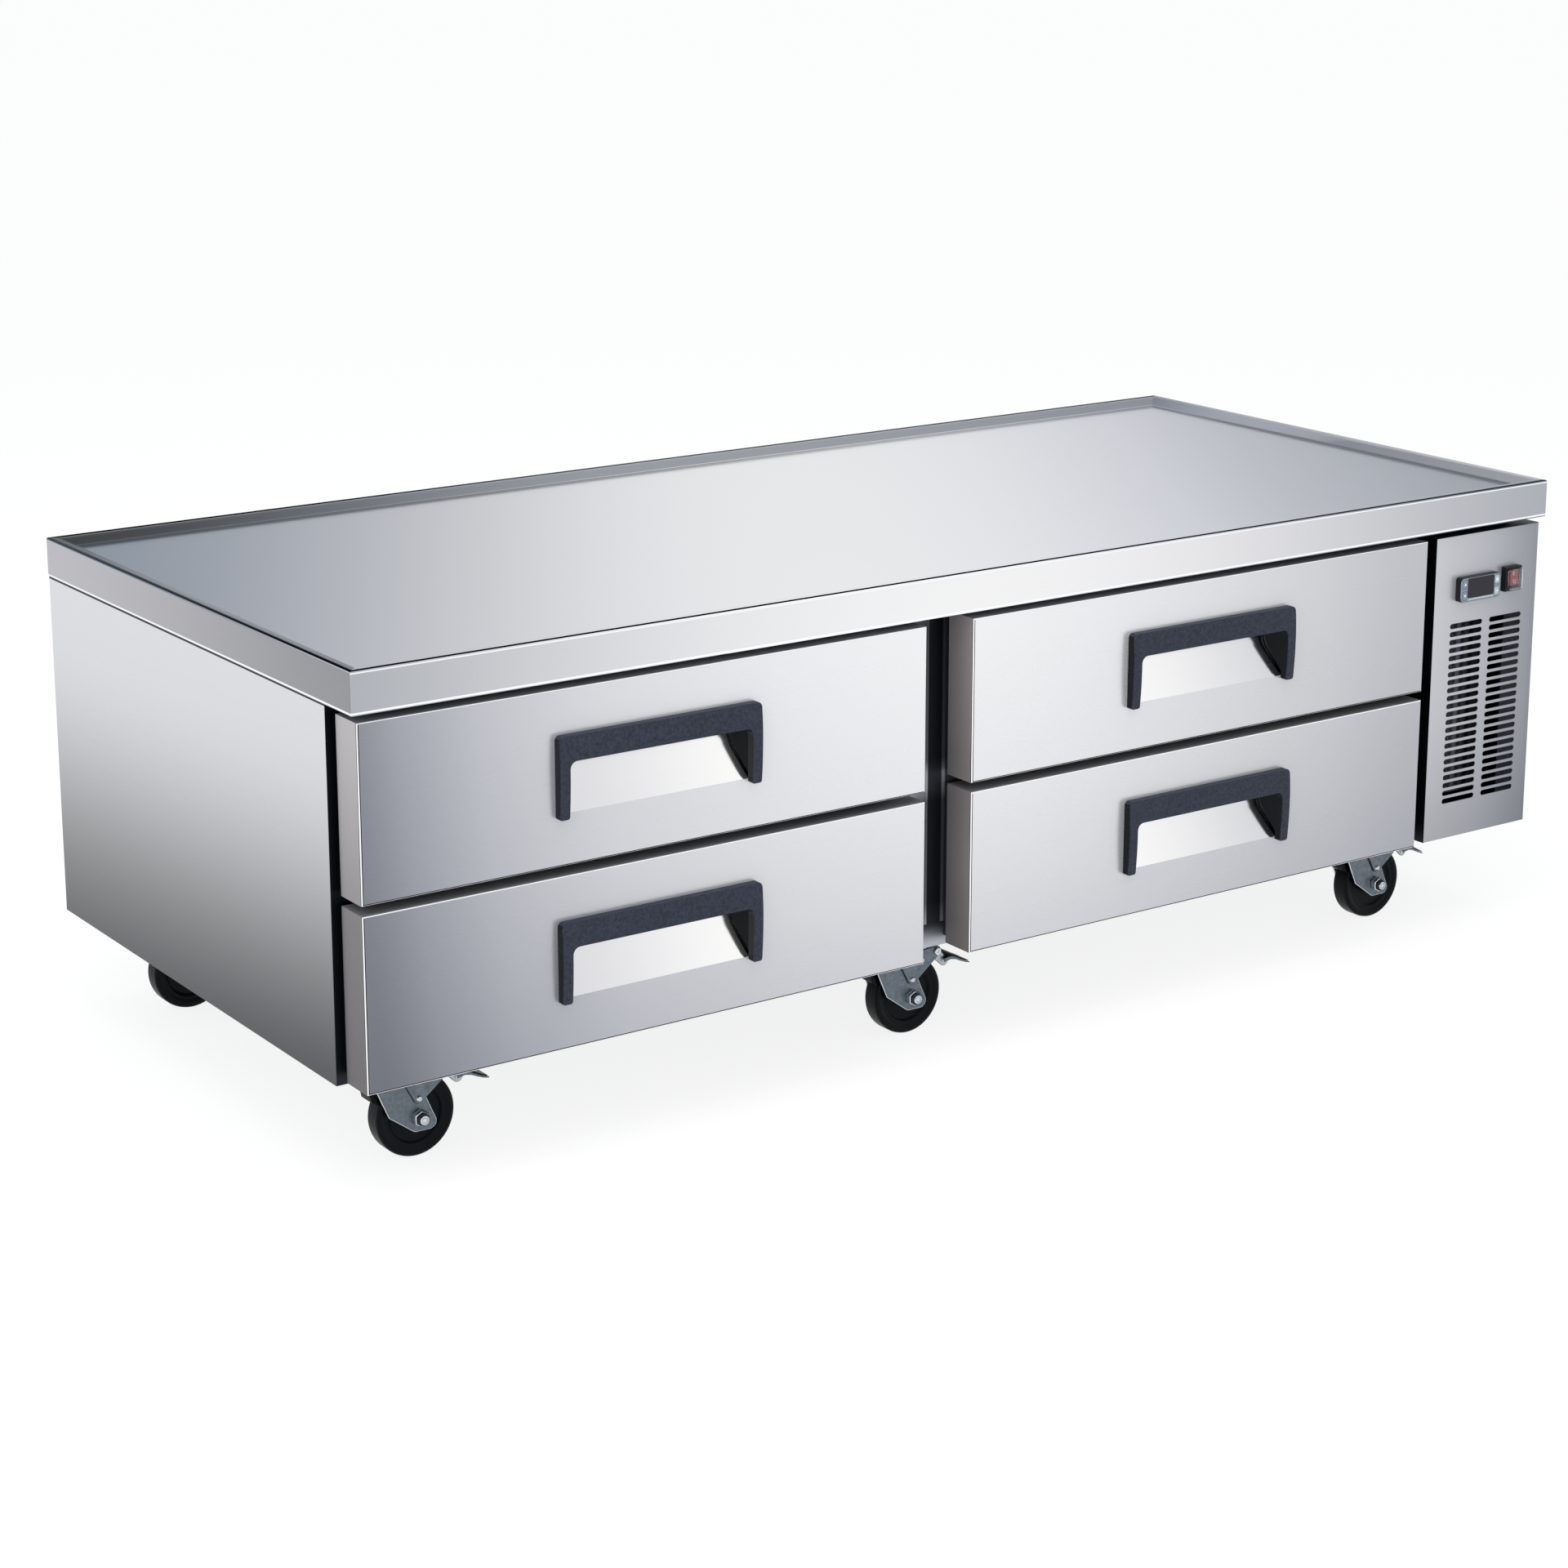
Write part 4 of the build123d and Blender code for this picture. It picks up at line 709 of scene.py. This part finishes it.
# The legs' rounded edges take the painted highlight.
for part in fork_parts[:2]:
    round_edges(part, 0.8, side_edge, strip=1)
bolt_parts = coat([
    ring_up(axle, [(2.4, -33.6), (3.2, -32.6), (3.9, -32.6), (4.5, -34), (5.5, -34), (6, -33), (6, 27)], sides=32),
    ring_up(axle, [(8.8, 20.2), (10.2, 20.8), (10.2, 26.2), (8.8, 27)], sides=6),
], bright_highlight_zinc)
nut_zincs = [bright_highlight_zinc, zinc, dark_zinc]
nut_parts = coat([
    ring_up(axle, [(6.05, -20), (9.4, -20), (10.5, -20.8), (10.5, -27.4), (9.2, -28.4), (6.05, -28.4),
                   (6.05, -20)], sides=6),
    ring_up(axle, [(6.05, -28.4), (7.2, -28.4), (7.8, -29), (7.8, -30.8), (7.2, -31.4), (6.05, -31.4),
                   (6.05, -28.4)], sides=32),
], *nut_zincs)
# Painted highlight on the nut's left faces and painted shade on its underside; the collar is all painted shade.
share_out(nut_parts[0], nut_zincs, lambda normal, middle: (
    bright_highlight_zinc if normal.x < -0.3 else dark_zinc if normal.z < -0.5 else zinc))
share_out(nut_parts[1], nut_zincs, lambda normal, middle: dark_zinc)
plain_fork = together(fork_parts + bolt_parts + nut_parts)

link = arc(32, 74.5, 6.5, 205, 318, 8) + arc(70, 105.5, 7, 318, 450, 8) + arc(17, 102, 6, 80, 205, 6)
link_parts = coat([caster_plate(link, -22.8, -20), caster_plate(link, 20, 22.8)], zinc, dark_zinc)
# The link plates' rounded edges take painted shade.
for part in link_parts:
    round_edges(part, 0.6, side_edge, strip=1)
rivet_parts = rivets([(32, 74.5), (18.5, 101), (46, 98)], [
    (1.2, 24.6), (1.5, 25.2), (2.6, 25.2), (3.6, 24.0), (3.9, 22.8)])
rivet_parts.append(ring_up((x + 70, y, 105.5), [
    (1.5, -25.0), (1.9, -26.0), (4.2, -26.2), (5, -25.4), (5.2, -22.8), (4, -22.6), (4, 22.6), (5.2, 22.8),
    (5, 25.4), (4.2, 26.2)], sides=32))
stop = caster_plate([(-27, 92), (-24, 78), (-14, 72), (-17, 84), (-21, 99), (-27, 103)], -13, 13)
round_edges(stop, 1.2, lambda a, b: True)
links = together(link_parts + coat(rivet_parts, bright_highlight_zinc) + coat([stop], rubber))

# Brake pedals: a zinc-plated bracket on the fork's pin, with two rivets, and a foot plate that narrows and droops
# to its tip, under a pad of black rubber. The bracket's rounded edges carry painted shade.
pedal_side = arc(70, 105.5, 8.5, 60, 225, 8) + arc(87, 87, 6.5, 225, 385, 8)
crown = [(75, 111.5), (90, 93.5), (88.5, 91.5), (73.5, 109.5)]
pedal_parts = coat([caster_plate(pedal_side, -16, -13.5), caster_plate(pedal_side, 13.5, 16)], slide_zinc, dark_zinc)
crown = coat([caster_plate(crown, -16, 16)], slide_zinc, dark_zinc)
for part in pedal_parts + crown:
    round_edges(part, 0.6, side_edge, strip=1)
pedal_rivets = rivets([(77, 97.5), (86, 88)], [(1, 17.6), (1.3, 18.2), (2.2, 18.2), (3.1, 17.2), (3.3, 16)])


def taper(piece):
    """Narrow the foot of the pedal to 65 percent at its tip, about the pedal's middle."""
    start, tip, share = 98, 131, 0.65
    for corner in piece.data.vertices:
        reach = min(max((corner.co.x * 1000 - x - start) / (tip - start), 0), 1)
        corner.co.y = y / 1000 + (corner.co.y - y / 1000) * (1 - (1 - share) * reach ** 2)


shoe = caster_plate([
    (84, 91.4), (92, 93), (98, 92.4), (104, 89.8), (112, 85.2), (122, 80.2), (130.6, 76.6), (130.2, 75.4),
    (121, 78.6), (111, 83), (103, 86.8), (95, 88.6), (85, 86.6)], -20.5, 20.5)
taper(shoe)
coat([shoe], zinc)
round_edges(shoe, 0.5, side_edge)
tread = caster_plate([
    (86, 92), (92, 95), (98, 94.6), (104, 92), (112, 87.4), (122, 82.2), (128, 79.2), (127, 78.5), (112, 85.4),
    (104, 90), (98, 92.5), (92, 93.1)], -19.5, 19.5)
taper(tread)
round_edges(tread, 0.4, side_edge)
bracket = together(pedal_parts + [shoe] + crown + coat(pedal_rivets, bright_highlight_zinc))

for depth, y_here in rows.items():
    for side, x_here in swivels.items():
        caster = f"{depth}_{side}"
        step = (x_here - x, y_here - y, 0)
        wheel = put(first_wheel, step)
        settle(wheel, f"{caster}_tyre", f"{caster}_rolling_wheel", [rubber], [f"{caster}_wheel"])
        fork = put(plain_fork, step)
        if depth == "front":
            fork = together([fork, put(links, step)])
            settle(put(bracket, step), f"{caster}_pedal_plate", f"{caster}_pedal", [],
                   [f"{caster}_brake_pedal"])
            settle(put(tread, step), f"{caster}_pedal_tread", f"{caster}_pedal", [rubber])
        settle(fork, f"{caster}_fork", f"{caster}_swivel", [], [f"{caster}_caster_fork"])
for spare in (first_wheel, plain_fork, links, bracket, tread):
    bpy.data.objects.remove(spare)
dress("caster_plates", zinc)

# Grille: a stainless cover folded over the machine bay, with two columns of 23 air slots punched with round ends,
# and the openings for the controls. Its brushing runs upright. Its tones are a painted sheen, darker to the right and
# towards the foot; its top carries a painted shadow and its left side painted shade.
grille_sheen_steel = brushed_steel("stainless_grille_painted_sheen", [
    ((1, 0, 0), [(722, "CBCDD1"), (760, "C3C4C9"), (810, "BBBDC3"), (860, "A9ACB3"), (905, "96999F"),
                 (917, "8F939B")]),
    ((0, 0, 1), [(133, "D2D2D4"), (220, "E8E8EA"), (320, "F6F6F6"), (560, "FFFFFF")])], roughness=0.34,
    along=(3, 3, 300), metallic=0.5)
bpy.ops.object.select_all(action="DESELECT")
bpy.ops.mesh.primitive_cube_add(size=1, location=(0.8195, -0.3685, 0.34675), scale=(0.195, 0.055, 0.4275))
cover = bpy.context.object
bpy.ops.object.transform_apply(location=True, rotation=True, scale=True)
round_edges(cover, 1.2, lambda a, b: a.y < -395.9 and b.y < -395.9)
edit(cover)
pick_faces(cover, lambda normal, middle: normal.y > 0.9)
bpy.ops.mesh.delete(type="ONLY_FACE")
bpy.ops.object.mode_set(mode="OBJECT")
cover_steels = [grille_sheen_steel, painted_gap_shade, stile_steel]
# Painted shadow on the cover's top face, under the worktop, and painted shade on its left side.
share_out(cover, cover_steels, lambda normal, middle: (
    painted_gap_shade if normal.z > 0.9 else stile_steel if normal.x < -0.9 else grille_sheen_steel))
wall = cover.modifiers.new("sheet_thickness", "SOLIDIFY")
wall.thickness, wall.offset, wall.use_even_offset = 0.0009, -1, True
bpy.ops.object.modifier_apply(modifier=wall.name)
slot_half, slot_round, slot_x, slot_top = 27.1, 3.65, 784.5, 434.5
punch_near, punch_far = -399, -393
slot = plate(arc(slot_x - slot_half, slot_top, slot_round, 90, 270, 8)
             + arc(slot_x + slot_half, slot_top, slot_round, -90, 90, 8), punch_near, punch_far)
for count, step in ((2, (0.075, 0, 0)), (23, (0, 0, -0.01125))):
    hold(slot)
    row = slot.modifiers.new("slots", "ARRAY")
    row.count, row.use_relative_offset, row.use_constant_offset = count, False, True
    row.constant_offset_displace = step
    bpy.ops.object.modifier_apply(modifier=row.name)
openings = [[(764, 471.5), (834, 471.5), (834, 499.5), (764, 499.5)],
            [(849.5, 474.5), (876.5, 474.5), (876.5, 504.5), (849.5, 504.5)]]
punches = together([slot] + [plate(opening, punch_near, punch_far) for opening in openings])
hold(cover)
cut = cover.modifiers.new("punched_slots", "BOOLEAN")
cut.object, cut.operation, cut.solver = punches, "DIFFERENCE", "EXACT"
bpy.ops.object.modifier_apply(modifier=cut.name)
bpy.data.objects.remove(punches)
settle(cover, "grille_cover", "cabinet", cover_steels, ["grille_panel"])

# Controller: a moulded housing with a printed blue-grey front film round a smoked display window, and four soft
# keys with plain marks.
housing_plastic = grained("abs_black_housing", "15171B", 1.2, 0.12, 0.42, dent=0.03, specular=0.25)
film = grained("polyester_film_bluegrey", "7F8B98", 1.5, 0.05, 0.32, dent=0.01)
pale_film = grained("polyester_film_pale", "B3C0C9", 1.5, 0.04, 0.32, dent=0.01)
display = grained("acrylic_smoked_window", "1D1B24", 4, 0.1, 0.12, specular=0.3)
white_ink = grained("printed_white_ink", "F3F5F6", 0.8, 0.03, 0.5)
case = copy_node("controller")
case_x, case_z, case_front = 799, 485.5, -405.5
share_out(case, [housing_plastic, film], lambda normal, middle: (
    film if normal.y < -0.9 and middle.y < case_front else housing_plastic))
round_edges(case, 1.4, lambda a, b: a.y < case_front and b.y < case_front and all(     # its outer edge only
    abs(p.x - case_x) > 37 or abs(p.z - case_z) > 16 or abs(p.x - case_x) + abs(p.z - case_z) > 49 for p in (a, b)),
    segments=3)
settle(case, "controller_case", "cabinet", [housing_plastic, film], ["controller"])
for name, outline, finish in (
    ("display_window", arc(822, 499, 2, 0, 90, 4) + arc(776, 499, 2, 90, 180, 4) + arc(776, 476, 2, 180, 270, 4)
     + arc(822, 476, 2, 270, 360, 4), display),
    ("film_foot_strip", [(775, 470.5), (823, 470.5), (823, 473.2), (775, 473.2)], pale_film),
):
    window = plate(outline, -406.5, -405.2)
    round_edges(window, 0.25, lambda a, b: a.y < -406.4 and b.y < -406.4)
    settle(window, name, "cabinet", [finish])
for key, marks in (
    ("key_upper_left", [(-2.2, -1.4), (2.2, -1.4), (0, 2.4)]),
    ("key_lower_left", [(-2.2, 1.6), (0, -2.2), (2.2, 1.6)]),
    ("key_upper_right", [(-2, -2), (2, -2), (2, 2), (-2, 2)]),
    ("key_lower_right", [(-2.4, -0.7), (2.4, -0.7), (2.4, 0.7), (-2.4, 0.7)]),
):
    cap = copy_node(key)
    round_edges(cap, 0.5, lambda a, b: a.y < -406.5 and b.y < -406.5)
    low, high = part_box(key)
    cx, cz = (low.x + high.x) * 500, (low.z + high.z) * 500
    body = frame["nodes"][key]["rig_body"]
    settle(cap, f"{key}_cap", body, [film if "left" in key else pale_film], [key])
    mark = plate([(cx + along, cz + up) for along, up in marks], -406.86, -406.6)
    settle(mark, f"{key}_mark", body, [white_ink])

# Main switch: a black housing with a red rocker, marked with a bar and a ring, under a clear soft cover that keeps
# grease out and stands off the rocker.
red = grained("polycarbonate_red", "8E1B30", 3, 0.12, 0.25, coat=0.2)
pale_ink = grained("printed_pale_ink", "E8C3C8", 0.8, 0.03, 0.5)
socket = copy_node("switch_housing")
round_edges(socket, 1.0, lambda a, b: a.y < -404.5 and b.y < -404.5, segments=3)
settle(socket, "switch_socket", "cabinet", [housing_plastic], ["switch_housing"])
lever = copy_node("rocker")
round_edges(lever, 0.8, lambda a, b: a.y < -397 and b.y < -397)
lever_body = frame["nodes"]["rocker"]["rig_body"]
settle(lever, "switch_lever", lever_body, [red], ["rocker"])
switch_x, switch_z, pivot_y = 863, 489.5, -394
rocked, slant, valley = radians(9), 2.2 / 10.5, 10.35   # its tilt, its faces' slope, and how far out they meet
for name, along, piece_size in (("bar", 5.6, (0.0012, 0.0004, 0.0052)), ("ring", -5.6, None)):
    out = valley + abs(along) * slant
    place = (switch_x, pivot_y - out * cos(rocked) + along * sin(rocked),
             switch_z + along * cos(rocked) + out * sin(rocked))
    facing = rocked - (slant if along > 0 else -slant)
    bpy.ops.object.select_all(action="DESELECT")
    if piece_size:
        bpy.ops.mesh.primitive_cube_add(size=1, location=Vector(place) / 1000, rotation=(-facing, 0, 0),
                                        scale=piece_size)
    else:
        bpy.ops.mesh.primitive_torus_add(location=Vector(place) / 1000, rotation=(radians(90) - facing, 0, 0),
                                         major_radius=0.0024, minor_radius=0.0004, major_segments=28,
                                         minor_segments=6)
    settle(bpy.context.object, f"switch_{name}_mark", lever_body, [pale_ink])
clear = blank("pvc_clear_soft")
tree = clear.node_tree
ripple = add(tree, "TexNoise", {"Vector": add(tree, "TexCoord").outputs["Object"], "Scale": 160.0}).outputs["Fac"]
uneven = add(tree, "Bump", {"Height": ripple, "Strength": 0.6, "Distance": 0.0006}).outputs["Normal"]
skin_of_pvc = add(tree, "BsdfPrincipled", {"Base Color": linear("F4F6F8"), "Roughness": 0.05, "IOR": 1.45,
                                           "Transmission Weight": 1.0, "Normal": uneven})
add(tree, "OutputMaterial", {"Surface": skin_of_pvc.outputs[0]})
bpy.ops.object.select_all(action="DESELECT")
bpy.ops.mesh.primitive_cube_add(size=1, location=(switch_x / 1000, -0.4085, switch_z / 1000),
                                scale=(0.0245, 0.0075, 0.0285))
dome = bpy.context.object
bpy.ops.object.transform_apply(location=True, rotation=True, scale=True)
round_edges(dome, 3.0, lambda a, b: True, segments=4)
edit(dome)
bpy.ops.mesh.select_all(action="SELECT")
bpy.ops.mesh.bisect(plane_co=(0, -0.4051, 0), plane_no=(0, 1, 0), clear_outer=True)
bpy.ops.object.mode_set(mode="OBJECT")
wall = dome.modifiers.new("skin_thickness", "SOLIDIFY")
wall.thickness, wall.offset = 0.0006, -1
bpy.ops.object.modifier_apply(modifier=wall.name)
settle(dome, "switch_clear_cover", "cabinet", [clear])

# Cooling unit: a condenser of black-painted aluminium fins behind the grille, with its shroud, fan and compressor,
# and in the chamber an evaporator with its cover and fan. Only the condenser's face shows, with a lighter upright
# band of painted light across its fins.
fins = brushed_steel("aluminium_fins_dark_painted_light_band", [((1, 0, 0), [
    (741, "14161A"), (834, "14161A"), (846, "70747E"), (857, "70747E"), (868, "14161A"), (898, "14161A")])],
    0.6, along=(3, 60, 60), scratch=0.05, metallic=0.0)
black_paint = grained("enamel_black", "16181B", 6, 0.15, 0.35, dent=0.02, coat=0.3)
dress("condenser_coil", fins)
dress("evaporator_coil", grained("aluminium_fins_bright", "B9BDC0", 1.5, 0.12, 0.35, metallic=1.0))
dress("condenser_shroud", black_paint)
dress("compressor", black_paint)
dress("condenser_fan", grained("aluminium_blades", "A9AEB2", 8, 0.06, 0.35, metallic=1.0))
dress("evaporator_fan", grained("polypropylene_blades", "2A2D31", 4, 0.1, 0.5))
dress("evaporator_housing", liner_aluminium)
